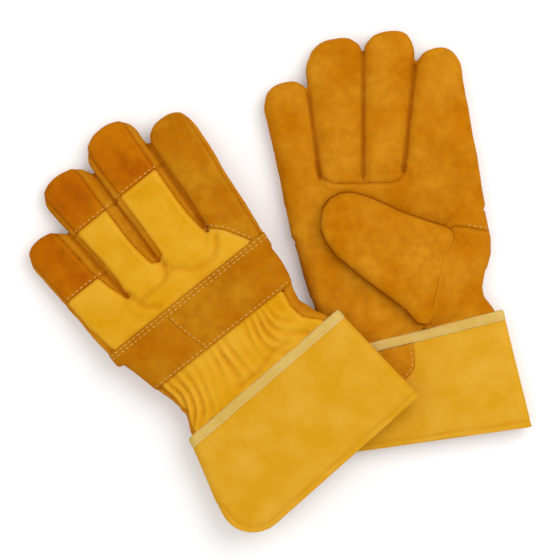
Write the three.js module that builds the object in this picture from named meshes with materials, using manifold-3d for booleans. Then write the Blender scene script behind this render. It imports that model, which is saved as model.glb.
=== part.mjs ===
// A pair of leather-palm work gloves with canvas backs and gauntlet cuffs.
// The left glove lies back up, its cuff on the cuff of the right glove, which lies palm up.
// Millimetres, +Z up, origin on the ground at the middle of the pair.
//
// Each glove is built flat in its own frame: u runs across the hand towards the thumb side, v runs from
// the cuff's mouth to the fingertips and w is its thickness. A glove is a skin between two pillow forms,
// cut along its seams into the panels that a glove maker sews together.

import * as THREE from 'three';
import { mergeVertices } from 'three/addons/utils/BufferGeometryUtils.js';
import Module from 'manifold-3d';

const manifold = await Module();
manifold.setup();

// Cloth and leather
const leather = 1.5;
const canvas = 1.2;
const cuffCloth = 1.6;
const tapeCloth = 0.8;
const liningCloth = 0.8;
const elasticThickness = 1;
const clearance = 0.3;

// Thickness of the flattened forms
const handHalf = 7.5;
const fingerHalf = 7.2;
const cuffHalf = 6;
const edgeBand = 1.2;
const leftThumbThickness = 9;
const rightThumbThickness = 12;
const roundSteps = 3;
const tipSteps = 8;

// Seams, straps and patches, the same on both gloves
const fourchetteHalf = 5.2;
const strapWidth = 37;
const tapeWidth = 4.6;
const elasticWidth = 6;
const veinHalfWidth = 13;
const veinLength = 24;
const liningInset = 6;
const reach = 400;

// The pattern is drafted in shares of this length, which grades the whole glove
const patternLength = 250;

// How far in from its edge each form is rounded, and where things lie on the hand, in shares of the
// pattern's length. The thumb is folded over the palm: it has the crease that it swings on, its outline,
// and the wing that ends in a seam at the edge of the hand.
const handShares = {
  handRound: 0.044,
  fingerRound: 0.04,
  cuffRound: 0.024,
  thumbRound: 0.032,
  thenarRound: 0.104,
  fourchetteEnd: 0.04,
  seamEasing: 0.032,
  fingerRoot: 0.096,
  overrun: 0.08,
  wrapInset: 0.014,
  strapProximal: 0.412,
  strapJoinDistal: -0.08,
  strapJoinProximal: -0.048,
  elasticPlace: 0.344,
  veinCentre: -0.024,
  liningStart: 0.312,
  creaseWrist: { u: 0.052, v: 0.276 },
  creaseFinger: { u: 0.172, v: 0.536 },
  wingEdge: { u: 0.288, v: 0.508 },
  thumbUpper: [
    { u: 0.056, v: 0.594 }, { u: -0.016, v: 0.646 }, { u: -0.056, v: 0.666 },
    { u: -0.092, v: 0.67 },
  ],
  thumbTip: [
    { u: -0.132, v: 0.654 }, { u: -0.156, v: 0.62 }, { u: -0.158, v: 0.572 },
    { u: -0.142, v: 0.524 },
  ],
  thumbLower: [{ u: -0.11, v: 0.486 }, { u: -0.042, v: 0.412 }, { u: 0.022, v: 0.342 }],
};

// The left glove's plan: the lines between its fingers, their tips and crotches, the sides of the hand, the
// edges on its back where the palm's leather wraps round to meet the back, and its cuff
const leftShares = {
  place: { x: 0.1064, y: -0.4616 },
  foldLine: 0.624,
  lines: [
    { base: -0.262, tip: -0.278, level: 0.86 },
    { base: -0.1292, tip: -0.15, level: 0.872 },
    { base: -0.0104, tip: -0.004, level: 0.888 },
    { base: 0.138, tip: 0.154, level: 0.912 },
    { base: 0.258, tip: 0.288, level: 0.904 },
  ],
  tips: [0.912, 1.014, 1.038, 0.96],
  crotches: [0.648, 0.672, 0.652],
  littleSide: [
    { u: -0.2548, v: 0.564 }, { u: -0.2312, v: 0.47 }, { u: -0.206, v: 0.356 },
    { u: -0.2, v: 0.312 }, { u: -0.224, v: 0.268 },
  ],
  indexSide: [
    { u: 0.27, v: 0.268 }, { u: 0.216, v: 0.308 }, { u: 0.214, v: 0.356 },
    { u: 0.234, v: 0.432 }, { u: 0.246, v: 0.576 },
  ],
  littleEdge: [
    { u: -0.212, v: 0.264 }, { u: -0.194, v: 0.312 }, { u: -0.194, v: 0.36 },
    { u: -0.204, v: 0.412 }, { u: -0.22, v: 0.472 }, { u: -0.236, v: 0.56 },
    { u: -0.248, v: 0.624 },
  ],
  indexEdge: [
    { u: 0.2288, v: 0.528 }, { u: 0.216, v: 0.46 }, { u: 0.2016, v: 0.42 },
    { u: 0.1936, v: 0.392 }, { u: 0.1888, v: 0.364 }, { u: 0.196, v: 0.324 },
    { u: 0.236, v: 0.276 },
  ],
  seam: 0.2692,
  cuff: [{ u: -0.24, v: 0.224 }, { u: -0.2928, v: 0.036 }, { u: 0.2996, v: -0.016 }, { u: 0.2732, v: 0.276 }],
  mouth: -0.0348,
  mouthCorner: 0.06,
  patchLine: [0.176, 0.152, 0.172],
};

// The right glove's plan: its hand is a little longer and its fingers lie closer together
const rightShares = {
  place: { x: 0.3564, y: -0.4096 },
  foldLine: 0.678,
  lines: [
    { base: -0.236, tip: -0.25, level: 0.872 },
    { base: -0.14, tip: -0.1328, level: 0.928 },
    { base: -0.032, tip: 0.02, level: 0.984 },
    { base: 0.074, tip: 0.154, level: 0.972 },
    { base: 0.2728, tip: 0.2712, level: 0.928 },
  ],
  tips: [0.976, 1.068, 1.064, 1],
  crotches: [0.716, 0.7, 0.7],
  littleSide: [
    { u: -0.228, v: 0.6 }, { u: -0.216, v: 0.488 }, { u: -0.206, v: 0.392 },
    { u: -0.204, v: 0.32 }, { u: -0.228, v: 0.256 },
  ],
  indexSide: [
    { u: 0.268, v: 0.296 }, { u: 0.2336, v: 0.34 }, { u: 0.242, v: 0.392 },
    { u: 0.266, v: 0.448 }, { u: 0.2664, v: 0.552 },
  ],
  littleEdge: [
    { u: -0.208, v: 0.276 }, { u: -0.194, v: 0.32 }, { u: -0.194, v: 0.368 },
    { u: -0.198, v: 0.42 }, { u: -0.204, v: 0.488 }, { u: -0.212, v: 0.568 },
    { u: -0.222, v: 0.664 },
  ],
  indexEdge: [
    { u: 0.254, v: 0.528 }, { u: 0.248, v: 0.464 }, { u: 0.228, v: 0.416 },
    { u: 0.216, v: 0.376 }, { u: 0.216, v: 0.34 }, { u: 0.232, v: 0.308 },
    { u: 0.244, v: 0.288 },
  ],
  seam: 0.276,
  cuff: [{ u: -0.24, v: 0.24 }, { u: -0.28, v: 0.016 }, { u: 0.296, v: -0.0072 }, { u: 0.266, v: 0.298 }],
  mouth: 0,
  mouthCorner: 0.012,
  patchLine: [0.176, 0.152, 0.172],
};

// A table of shares as lengths
function graded(shares) {
  if (typeof shares === 'number') return shares * patternLength;
  if (Array.isArray(shares)) return shares.map(graded);
  return Object.fromEntries(Object.entries(shares).map(([name, value]) => [name, graded(value)]));
}

const {
  handRound, fingerRound, cuffRound, thumbRound, thenarRound, fourchetteEnd, seamEasing, fingerRoot, overrun,
  wrapInset, strapProximal, strapJoinDistal, strapJoinProximal, elasticPlace, veinCentre, liningStart,
  creaseWrist, creaseFinger, wingEdge, thumbUpper, thumbTip, thumbLower,
} = graded(handShares);
const strapDistal = strapProximal + strapWidth;

// The left glove lies back up on the cuff of the right glove, so it slopes a little both ways
const leftGlove = {
  name: 'left',
  dorsal: 1,
  heading: 38.5,
  tiltAcross: 2.6,
  tiltAlong: -1.8,
  droop: 5,
  thumbThickness: leftThumbThickness,
  seamSlope: 0.043,
  mouthSlope: 0.058,
  ...graded(leftShares),
};

// The right glove lies palm up and level
const rightGlove = {
  name: 'right',
  dorsal: -1,
  heading: 9.5,
  tiltAcross: 0,
  tiltAlong: 0,
  droop: 0,
  thumbThickness: rightThumbThickness,
  seamSlope: 0.08,
  mouthSlope: -0.024,
  ...graded(rightShares),
};

// Finishes
const finishes = {
  leather: { color: 0xc37a10, roughness: 0.95 },
  patch: { color: 0xbc6600, roughness: 0.95 },
  canvas: { color: 0xe2a51e, roughness: 0.85 },
  cuff: { color: 0xdfa932, roughness: 0.7 },
  tape: { color: 0xcdb45f, roughness: 0.8 },
  cotton: { color: 0xe8e0cc, roughness: 0.9 },
  elastic: { color: 0xf0ece0, roughness: 0.7 },
};

// A closed three.js geometry as a solid that can be joined and cut
function solid(geometry) {
  const bare = geometry.clone();
  bare.deleteAttribute('normal');
  bare.deleteAttribute('uv');
  const merged = mergeVertices(bare);
  return new manifold.Manifold(new manifold.Mesh({
    numProp: 3,
    vertProperties: new Float32Array(merged.attributes.position.array),
    triVerts: new Uint32Array(merged.index.array),
  }));
}

function geometryOf(piece) {
  const mesh = piece.getMesh();
  const geometry = new THREE.BufferGeometry();
  geometry.setAttribute('position', new THREE.Float32BufferAttribute(mesh.vertProperties, 3));
  geometry.setIndex(Array.from(mesh.triVerts));
  return geometry;
}

function planShape(points) {
  return new THREE.Shape(points.map(({ u, v }) => new THREE.Vector2(u, v)));
}

// A flattened form with rounded edges; grow offsets its whole surface outwards, or inwards when negative
function pillow(points, half, round, grow) {
  const geometry = new THREE.ExtrudeGeometry(planShape(points), {
    depth: edgeBand,
    bevelThickness: half + grow - edgeBand / 2,
    bevelSize: round + grow,
    bevelOffset: -round,
    bevelSegments: roundSteps,
  });
  geometry.translate(0, 0, -edgeBand / 2);
  return geometry;
}

// A straight-sided cutter over a plan outline, from one level to another
function prism(points, low, high) {
  const geometry = new THREE.ExtrudeGeometry(planShape(points), { depth: high - low, bevelEnabled: false });
  geometry.translate(0, 0, low);
  return geometry;
}

function unionOf(pieces) {
  return pieces.reduce((sum, piece) => sum.add(piece));
}

// A thin slot along a seam, half the clearance to each side of it
function seamSlot(from, to, low, high) {
  const along = new THREE.Vector2(to.u - from.u, to.v - from.v).normalize();
  const side = { u: -along.y * clearance / 2, v: along.x * clearance / 2 };
  const end = { u: along.x * clearance, v: along.y * clearance };
  return solid(prism([
    { u: from.u - end.u - side.u, v: from.v - end.v - side.v },
    { u: to.u + end.u - side.u, v: to.v + end.v - side.v },
    { u: to.u + end.u + side.u, v: to.v + end.v + side.v },
    { u: from.u - end.u + side.u, v: from.v - end.v + side.v },
  ], low, high));
}

// All of one glove: the forms, the panels cut from them, and the three groups that they ride in
function makeGlove(glove) {
  const { dorsal, foldLine, lines, tips, crotches, littleSide, indexSide } = glove;
  const palm = -dorsal;
  const thumbTop = handHalf + clearance + glove.thumbThickness;

  // The level span of a layer on the back (side +1) or the palm (side -1) of this glove
  const span = (side, near, far) => (side * dorsal > 0 ? [near, far] : [-far, -near]);

  // Where a finger's side line lies at a level, worked out from its two named points
  function sideAt(line, level) {
    const share = (level - foldLine) / (line.level - foldLine);
    return line.base + (line.tip - line.base) * share;
  }

  // A finger runs up one side line, round its tip and down the next line
  function fingerOutline(index) {
    const left = lines[index];
    const right = lines[index + 1];
    const gap = clearance;
    const outer = { left: index === 0 ? 0 : gap, right: index === tips.length - 1 ? 0 : gap };
    const tip = tips[index];
    const halfWidth = (sideAt(right, tip) - sideAt(left, tip)) / 2;
    const shoulder = tip - halfWidth;
    const points = [
      { u: sideAt(right, foldLine - fingerRoot) - outer.right, v: foldLine - fingerRoot },
    ];
    for (let step = 0; step <= tipSteps; step += 1) {
      const angle = Math.PI * step / tipSteps;
      const level = shoulder + halfWidth * Math.sin(angle);
      const middle = (sideAt(left, level) + outer.left + sideAt(right, level) - outer.right) / 2;
      const half = (sideAt(right, level) - outer.right - sideAt(left, level) - outer.left) / 2;
      points.push({ u: middle + half * Math.cos(angle), v: level });
    }
    points.push({ u: sideAt(left, foldLine - fingerRoot) + outer.left, v: foldLine - fingerRoot });
    return points;
  }

  // The hand runs from the wrist seam to the crotches between the fingers
  const seamAt = (u) => glove.seam + glove.seamSlope * u;
  const handOutline = [
    { u: indexSide[0].u, v: seamAt(indexSide[0].u) - overrun },
    ...indexSide,
    { u: lines[4].base, v: crotches[2] },
    { u: lines[3].base, v: crotches[2] },
    { u: lines[2].base, v: crotches[1] },
    { u: lines[1].base, v: crotches[0] },
    { u: lines[0].base, v: crotches[0] },
    ...littleSide,
    { u: littleSide[4].u, v: seamAt(littleSide[4].u) - overrun },
  ];

  // The swelling at the root of the thumb, open towards the thumb along its crease
  const thenarOutline = [
    { u: creaseWrist.u - 2 * thenarRound, v: seamAt(creaseWrist.u) - 2 * overrun },
    { u: indexSide[1].u, v: seamAt(creaseWrist.u) - 2 * overrun },
    indexSide[2],
    indexSide[3],
    { u: indexSide[3].u - seamEasing / 2, v: creaseFinger.v + seamEasing },
    { u: creaseFinger.u - 3 * thenarRound, v: creaseFinger.v + seamEasing },
  ];
  const creaseDirection = new THREE.Vector2(creaseFinger.u - creaseWrist.u, creaseFinger.v - creaseWrist.v);
  creaseDirection.normalize();

  // Everything on the hand's side of the crease, moved by an offset across it
  function handSideOfCrease(offset, low, high) {
    const shift = { u: creaseDirection.y * offset, v: -creaseDirection.x * offset };
    const along = { u: creaseDirection.x * reach, v: creaseDirection.y * reach };
    const start = { u: creaseWrist.u - along.u, v: creaseWrist.v - along.v };
    const end = { u: creaseWrist.u + along.u, v: creaseWrist.v + along.v };
    return solid(prism([
      { u: start.u + shift.u, v: start.v + shift.v },
      { u: start.u + shift.u + reach, v: start.v + shift.v },
      { u: end.u + shift.u + reach, v: end.v + shift.v },
      { u: end.u + shift.u, v: end.v + shift.v },
    ], low, high));
  }

  function thenarForm(grow) {
    const [low, high] = span(-1, 0, thumbTop + clearance);
    const dome = solid(pillow(thenarOutline, thumbTop, thenarRound, grow));
    const cutOffset = grow < 0 ? -clearance : clearance / 2;
    return dome.intersect(handSideOfCrease(cutOffset, low, high));
  }

  const fingers = tips.map((tip, index) => fingerOutline(index));
  function gloveForm(grow) {
    const hand = solid(pillow(handOutline, handHalf, handRound, grow));
    const stalls = fingers.map((outline) => solid(pillow(outline, fingerHalf, fingerRound, grow)));
    return unionOf([hand, thenarForm(grow), ...stalls]);
  }

  const wristCut = solid(prism([
    { u: -reach, v: seamAt(-reach) + clearance / 2 },
    { u: reach, v: seamAt(reach) + clearance / 2 },
    { u: reach, v: reach },
    { u: -reach, v: reach },
  ], -reach, reach));
  const outer = gloveForm(0).intersect(wristCut);
  const skinOf = (cloth) => outer.subtract(gloveForm(-cloth));
  const leatherSkin = skinOf(leather);
  const canvasSkin = skinOf(canvas);

  // A layer that lies on the skin, or inside it when its near surface is negative
  function layer(near, thickness) {
    return gloveForm(near + thickness).subtract(gloveForm(near));
  }

  // A band right across the glove, between two levels
  const across = (from, to) => [
    { u: -reach, v: from }, { u: reach, v: from }, { u: reach, v: to }, { u: -reach, v: to },
  ];
  const half = (side) => span(side, clearance / 2, reach);
  const region = (points, side) => solid(prism(points, ...half(side)));

  // The back's outline in plan. Outside it the palm's leather wraps round the edge of the hand and fingers.
  const backOutline = (offset) => [
    { u: glove.littleEdge[0].u + offset, v: seamAt(glove.littleEdge[0].u) - overrun },
    ...glove.littleEdge.map(({ u, v }) => ({ u: u + offset, v })),
    { u: sideAt(lines[0], reach) + wrapInset + offset, v: reach },
    { u: sideAt(lines[4], reach) - wrapInset - offset, v: reach },
    { u: sideAt(lines[4], foldLine) - wrapInset - offset, v: foldLine },
    ...glove.indexEdge.map(({ u, v }) => ({ u: u - offset, v })),
    { u: glove.indexEdge[6].u - offset, v: seamAt(glove.indexEdge[6].u) - overrun },
  ].reverse();
  const backZone = solid(prism(backOutline(clearance), ...half(1)));
  const wrapCut = solid(prism(backOutline(0), ...half(1)));

  // The wing of the thumb on the palm side of the hand
  const wingOutline = [
    { u: creaseWrist.u - creaseDirection.x * overrun, v: creaseWrist.v - creaseDirection.y * overrun },
    { u: reach, v: creaseWrist.v - creaseDirection.y * overrun },
    { u: reach, v: wingEdge.v },
    wingEdge,
    creaseFinger,
  ];
  const wingCut = solid(prism(wingOutline, ...span(-1, -clearance / 2, reach)));
  const wingSlots = unionOf([
    seamSlot(wingOutline[0], creaseFinger, ...half(-1)),
    seamSlot(creaseFinger, wingEdge, ...half(-1)),
    seamSlot(wingEdge, { u: reach, v: wingEdge.v }, ...half(-1)),
  ]);

  // The seam at the foot of the index finger's leather back
  const indexSeam = [
    { u: lines[3].base, v: crotches[2] + overrun },
    { u: lines[3].base, v: crotches[2] },
    { u: lines[4].base - seamEasing, v: strapDistal - seamEasing / 2 },
    { u: lines[4].base + overrun, v: strapDistal - overrun },
  ];
  const indexBackOutline = [...indexSeam, { u: reach, v: strapDistal - overrun }, { u: reach, v: reach }];
  const indexSlots = unionOf(indexSeam.slice(1).map((point, index) => (
    seamSlot(indexSeam[index], point, ...half(1))
  )));

  const handZone = solid(prism(across(-reach, foldLine - clearance / 2), -reach, reach));
  const handLeather = leatherSkin.intersect(handZone);
  const handCanvas = canvasSkin.intersect(handZone);

  // The fold of the four fingers turns on the upper surface of the hand, so nothing below it can bind
  const foldAxis = new THREE.Vector3(0, foldLine, handHalf);
  const fingerCutter = prism(across(clearance / 2, reach), -reach, reach);
  fingerCutter.rotateX(THREE.MathUtils.degToRad(glove.droop));
  fingerCutter.translate(0, foldAxis.y, foldAxis.z);
  const fingerZone = solid(fingerCutter);

  // A fourchette is the side wall of two fingers and the crotch between them
  const centreAt = (index, level) => (sideAt(lines[index], level) + sideAt(lines[index + 1], level)) / 2;
  function fourchetteZone(index, grow) {
    const low = foldLine - fingerRoot;
    const ends = [tips[index] - fourchetteEnd, tips[index + 1] - fourchetteEnd];
    const slit = lines[index + 1];
    return solid(prism([
      { u: centreAt(index, low) - grow, v: low },
      { u: centreAt(index + 1, low) + grow, v: low },
      { u: centreAt(index + 1, ends[1]) + grow, v: ends[1] + grow },
      { u: sideAt(slit, ends[1]), v: ends[1] + grow },
      { u: sideAt(slit, ends[0]), v: ends[0] + grow },
      { u: centreAt(index, ends[0]) - grow, v: ends[0] + grow },
    ], -fourchetteHalf - grow, fourchetteHalf + grow));
  }
  const gussets = [0, 1, 2].map((index) => (
    leatherSkin.intersect(fingerZone).intersect(fourchetteZone(index, 0))
  ));
  const gussetGaps = unionOf([0, 1, 2].map((index) => fourchetteZone(index, clearance)));

  // The part of the fingers' skin that one finger owns, on one side
  function fingerPanel(skin, index, side) {
    const low = foldLine - overrun;
    const left = lines[index];
    const right = lines[index + 1];
    const margin = (end) => (end ? reach : -clearance / 2);
    const strip = [
      { u: sideAt(left, low) - margin(index === 0), v: low },
      { u: sideAt(right, low) + margin(index === tips.length - 1), v: low },
      { u: sideAt(right, reach) + margin(index === tips.length - 1), v: reach },
      { u: sideAt(left, reach) - margin(index === 0), v: reach },
    ];
    const own = skin.intersect(fingerZone).subtract(gussetGaps);
    if (side > 0) return own.intersect(region(strip, 1)).intersect(backZone);
    const outermost = index === 0 || index === tips.length - 1;
    if (outermost) return own.intersect(solid(prism(strip, -reach, reach))).subtract(wrapCut);
    return own.intersect(region(strip, -1));
  }

  // A fingertip patch starts at a straight seam square to the finger
  function tipZone(level, offset) {
    return solid(prism(across(level + offset, reach), -reach, reach));
  }

  const pieces = { hand: [], fingers: [], thumb: [] };
  function add(group, name, piece, finish) {
    pieces[group].push({ name: `${glove.name}_${name}`, piece, finish });
  }

  add('hand', 'palm_leather', handLeather.subtract(wrapCut).subtract(wingCut).subtract(wingSlots), 'leather');
  add('hand', 'thumb_wing', handLeather.intersect(region(wingOutline, -1)).subtract(wingSlots), 'leather');
  add('hand', 'back_canvas', handCanvas.intersect(backZone)
    .subtract(solid(prism(indexBackOutline, ...half(1)))).subtract(indexSlots), 'canvas');
  const indexRoot = handLeather.intersect(backZone)
    .intersect(region(indexBackOutline, 1)).subtract(indexSlots);
  add('hand', 'index_back_root', indexRoot, 'leather');

  // Two leather straps lie over the knuckles and meet at a slanting seam
  const strapOutline = (left, right) => [
    { u: left.proximal, v: strapProximal }, { u: right.proximal, v: strapProximal },
    { u: right.distal, v: strapDistal }, { u: left.distal, v: strapDistal },
  ];
  const strapLayer = layer(clearance, leather);
  const littleEnd = { proximal: -reach, distal: -reach };
  const indexEnd = { proximal: reach, distal: reach };
  const join = (offset) => ({ proximal: strapJoinProximal + offset, distal: strapJoinDistal + offset });
  const strapSide = (outline) => solid(prism(outline, ...span(1, edgeBand, reach)));
  add('hand', 'knuckle_strap_index_side',
    strapLayer.intersect(strapSide(strapOutline(join(clearance / 2), indexEnd))), 'leather');
  add('hand', 'knuckle_strap_little_side',
    strapLayer.intersect(strapSide(strapOutline(littleEnd, join(-clearance / 2)))), 'leather');

  // Inside: the elastic that draws in the wrist, and the cotton lining of the palm
  const elasticLayer = layer(-canvas - clearance - elasticThickness, elasticThickness);
  add('hand', 'wrist_elastic', elasticLayer.intersect(
    region(across(elasticPlace - elasticWidth / 2, elasticPlace + elasticWidth / 2), 1)), 'elastic');
  const liningLayer = layer(-leather - clearance - liningCloth, liningCloth);
  const liningSpan = span(-1, liningInset / 2, reach);
  const liningZone = solid(prism(across(liningStart, foldLine - liningInset), ...liningSpan));
  add('hand', 'palm_lining', liningLayer.intersect(liningZone)
    .subtract(handSideOfCrease(-liningInset, -reach, reach)), 'cotton');

  // Fingers, from the little finger to the index finger
  const fingerNames = ['little', 'ring', 'middle', 'index'];
  fingerNames.forEach((name, index) => {
    add('fingers', `${name}_front`, fingerPanel(leatherSkin, index, -1), 'leather');
    if (name === 'index') {
      add('fingers', 'index_back_leather', fingerPanel(leatherSkin, index, 1), 'leather');
    } else {
      const level = tips[index] - glove.patchLine[index];
      const back = fingerPanel(canvasSkin, index, 1).subtract(tipZone(level, -clearance / 2));
      add('fingers', `${name}_back_canvas`, back, 'canvas');
      const tip = fingerPanel(leatherSkin, index, 1).intersect(tipZone(level, clearance / 2));
      add('fingers', `${name}_tip_patch`, tip, 'patch');
    }
  });
  ['ring_little', 'middle_ring', 'index_middle'].forEach((name, index) => {
    add('fingers', `fourchette_${name}`, gussets[index], 'leather');
  });

  // The free thumb: a hollow form above the palm, open along the crease
  const thumbOutline = [creaseFinger, ...thumbUpper, ...thumbTip, ...thumbLower, creaseWrist];
  const rootShift = { u: creaseDirection.y * thenarRound, v: -creaseDirection.x * thenarRound };
  const thumbPlan = [
    { u: creaseFinger.u + rootShift.u, v: creaseFinger.v + rootShift.v },
    ...thumbOutline,
    { u: creaseWrist.u + rootShift.u, v: creaseWrist.v + rootShift.v },
  ];
  const thumbHalf = glove.thumbThickness / 2;
  const thumbMiddle = palm * (handHalf + clearance + thumbHalf);
  const thumbForm = (grow) => solid(
    pillow(thumbPlan, thumbHalf, thumbRound, grow).translate(0, 0, thumbMiddle),
  );
  const thumbSkin = thumbForm(0).subtract(thumbForm(-leather))
    .subtract(handSideOfCrease(-clearance / 2, -reach, reach));
  const thumbSeam = clearance / 2;
  const above = solid(prism(across(-reach, reach), thumbMiddle + thumbSeam, reach));
  const below = solid(prism(across(-reach, reach), -reach, thumbMiddle - thumbSeam));
  add('thumb', 'thumb_outer', thumbSkin.intersect(palm > 0 ? above : below), 'leather');
  add('thumb', 'thumb_inner', thumbSkin.intersect(palm > 0 ? below : above), 'leather');

  // The gauntlet cuff is a flat tube; its skin is cut to the mouth and to the seam with the hand
  const cuffSides = [...glove.cuff];
  const cuffForm = (grow) => {
    const [littleTop, littleMouth, indexMouth, indexTop] = cuffSides;
    const extend = (from, to, length) => {
      const direction = new THREE.Vector2(to.u - from.u, to.v - from.v).normalize().multiplyScalar(length);
      return { u: to.u + direction.x, v: to.v + direction.y };
    };
    return solid(pillow([
      extend(indexMouth, indexTop, overrun),
      extend(littleMouth, littleTop, overrun),
      extend(littleTop, littleMouth, overrun),
      extend(indexTop, indexMouth, overrun),
    ].reverse(), cuffHalf, cuffRound, grow));
  };
  const mouthAt = (u) => glove.mouth + glove.mouthSlope * u;
  const corner = glove.mouthCorner;
  const cuffLittle = glove.cuff[1].u;
  const arc = [];
  for (let step = 0; step <= tipSteps; step += 1) {
    const angle = Math.PI / 2 * step / tipSteps;
    const u = cuffLittle + corner * (1 - Math.sin(angle));
    arc.push({ u, v: mouthAt(cuffLittle + corner) + corner * (1 - Math.cos(angle)) });
  }
  const cuffZone = solid(prism([
    { u: reach, v: mouthAt(reach) },
    { u: reach, v: seamAt(reach) - clearance / 2 },
    { u: -reach, v: seamAt(-reach) - clearance / 2 },
    { u: -reach, v: glove.cuff[1].v + corner },
    { u: cuffLittle - corner, v: glove.cuff[1].v + corner },
    ...arc.reverse(),
  ].reverse(), -reach, reach));
  const cuffLayer = (near, cloth) => cuffForm(near + cloth).subtract(cuffForm(near)).intersect(cuffZone);
  add('hand', 'cuff', cuffLayer(-cuffCloth, cuffCloth), 'cuff');
  const tapeTop = clearance / 2;
  const tapeZone = (from, to) => solid(prism([
    { u: -reach, v: seamAt(-reach) - to }, { u: reach, v: seamAt(reach) - to },
    { u: reach, v: seamAt(reach) - from }, { u: -reach, v: seamAt(-reach) - from },
  ], -reach, reach));
  const tape = cuffLayer(clearance, tapeCloth).intersect(tapeZone(tapeTop, tapeWidth));
  add('hand', 'cuff_seam_tape', tape, 'tape');
  const tongue = [];
  const tongueTop = seamAt(veinCentre);
  for (let step = 0; step <= tipSteps; step += 1) {
    const angle = Math.PI * step / tipSteps;
    tongue.push({
      u: veinCentre - veinHalfWidth * Math.cos(angle),
      v: tongueTop - tapeWidth - veinLength + veinHalfWidth * (1 - Math.sin(angle)),
    });
  }
  tongue.push({ u: veinCentre + veinHalfWidth, v: tongueTop });
  tongue.push({ u: veinCentre - veinHalfWidth, v: tongueTop });
  add('hand', 'vein_patch', cuffLayer(clearance, leather).intersect(solid(prism(tongue, ...half(-1))))
    .subtract(tapeZone(-clearance, tapeWidth + clearance)), 'leather');

  // The scene graph: the hand carries the fingers and the thumb, each on its own pivot
  const group = new THREE.Group();
  group.name = `${glove.name}_glove`;
  const pivots = {
    hand: { origin: new THREE.Vector3(), turn: 0 },
    fingers: { origin: foldAxis, turn: -glove.droop },
    thumb: { origin: new THREE.Vector3(creaseWrist.u, creaseWrist.v, palm * thumbTop), turn: 0 },
  };
  Object.entries(pieces).forEach(([part, list]) => {
    const pivot = new THREE.Group();
    pivot.name = `${glove.name}_${part}`;
    pivot.position.copy(pivots[part].origin);
    pivot.rotation.x = THREE.MathUtils.degToRad(pivots[part].turn);
    list.forEach(({ name, piece, finish }) => {
      const geometry = geometryOf(piece);
      geometry.translate(-pivot.position.x, -pivot.position.y, -pivot.position.z);
      const material = new THREE.MeshStandardMaterial({ ...finishes[finish], metalness: 0 });
      const mesh = new THREE.Mesh(geometry, material);
      mesh.name = name;
      pivot.add(mesh);
    });
    group.add(pivot);
  });
  group.rotation.order = 'ZYX';
  group.rotation.set(
    THREE.MathUtils.degToRad(glove.tiltAlong),
    THREE.MathUtils.degToRad(-glove.tiltAcross),
    THREE.MathUtils.degToRad(glove.heading),
  );
  return group;
}

// The right glove lies on its knuckle straps; the left glove's cuff rests on the right glove's cuff
const strapStack = clearance + leather;
const rightLevel = handHalf + strapStack;
const leftCuffRise = 15.85;
const leftLevel = leftCuffRise + handHalf;

const right = makeGlove(rightGlove);
right.position.set(rightGlove.place.x, rightGlove.place.y, rightLevel);
const left = makeGlove(leftGlove);
left.position.set(leftGlove.place.x, leftGlove.place.y, leftLevel);

const gloves = new THREE.Group();
gloves.name = 'work_gloves';
gloves.add(right, left);

export default gloves;
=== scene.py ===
# %% [markdown]
# A pair of leather-palm work gloves, dressed over its CAD model.
# The left glove lies back up and its cuff rests on the cuff of the right glove, which lies palm up.
# Every piece is soft, so each CAD solid is replaced by a fuller form that fills the same space.

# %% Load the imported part
import math

import bmesh
import bpy
import numpy as np
from mathutils import Euler, Matrix, Vector, noise
from mathutils.bvhtree import BVHTree
from mathutils.kdtree import KDTree


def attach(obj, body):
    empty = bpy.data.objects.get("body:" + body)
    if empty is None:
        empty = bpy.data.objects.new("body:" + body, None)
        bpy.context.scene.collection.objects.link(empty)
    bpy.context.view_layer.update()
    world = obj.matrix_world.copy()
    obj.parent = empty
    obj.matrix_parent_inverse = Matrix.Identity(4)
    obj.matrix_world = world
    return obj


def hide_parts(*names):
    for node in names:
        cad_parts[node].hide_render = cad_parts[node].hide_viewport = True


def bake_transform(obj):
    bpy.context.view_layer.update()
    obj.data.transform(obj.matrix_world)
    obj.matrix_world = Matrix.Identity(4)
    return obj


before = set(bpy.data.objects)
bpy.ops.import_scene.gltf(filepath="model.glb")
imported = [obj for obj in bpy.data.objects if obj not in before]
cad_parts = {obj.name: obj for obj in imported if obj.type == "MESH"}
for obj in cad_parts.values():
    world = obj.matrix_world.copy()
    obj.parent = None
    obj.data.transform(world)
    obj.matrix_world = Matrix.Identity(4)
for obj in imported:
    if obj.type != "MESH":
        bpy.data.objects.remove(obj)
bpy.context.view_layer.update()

scene = bpy.context.scene

# %% [markdown]
# The camera looks straight down from high up, as in the photograph. A long lens keeps the gloves free of
# perspective, and the width that it sees is the photograph's own width at the height of the gloves. The
# Standard view keeps the yellows as they are, where a filmic view would grey them.

# %% Camera
SEEN_WIDTH = 0.364
CAMERA_HEIGHT = 2.2
SENSOR = 36.0
CAMERA_PLACE = (-0.0007, 0.0023)
GLOVES_HEIGHT = 0.02

camera_data = bpy.data.cameras.new("camera")
camera_data.sensor_width = SENSOR
camera_data.lens = SENSOR * CAMERA_HEIGHT / SEEN_WIDTH
camera = bpy.data.objects.new("camera", camera_data)
camera.location = (*CAMERA_PLACE, GLOVES_HEIGHT + CAMERA_HEIGHT)
scene.collection.objects.link(camera)
scene.camera = camera
scene.view_settings.view_transform = "Standard"
print("a lens of", round(camera_data.lens, 1), "mm sees", SEEN_WIDTH, "m")

# %% [markdown]
# Each glove is built flat, in millimetres, in its own frame, and only then turned into its place: u runs
# across the hand towards the thumb side, v from the cuff's mouth to the fingertips, and w is its thickness.
# The values below are the CAD model's, with the outline corrected by up to a millimetre or two against the
# photograph. "lines" are the five sides of the four fingers, each with its place at the fold, its place near
# the tip and the level there; "sides" are rows of a level and the hand's left and right side at that level.

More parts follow.
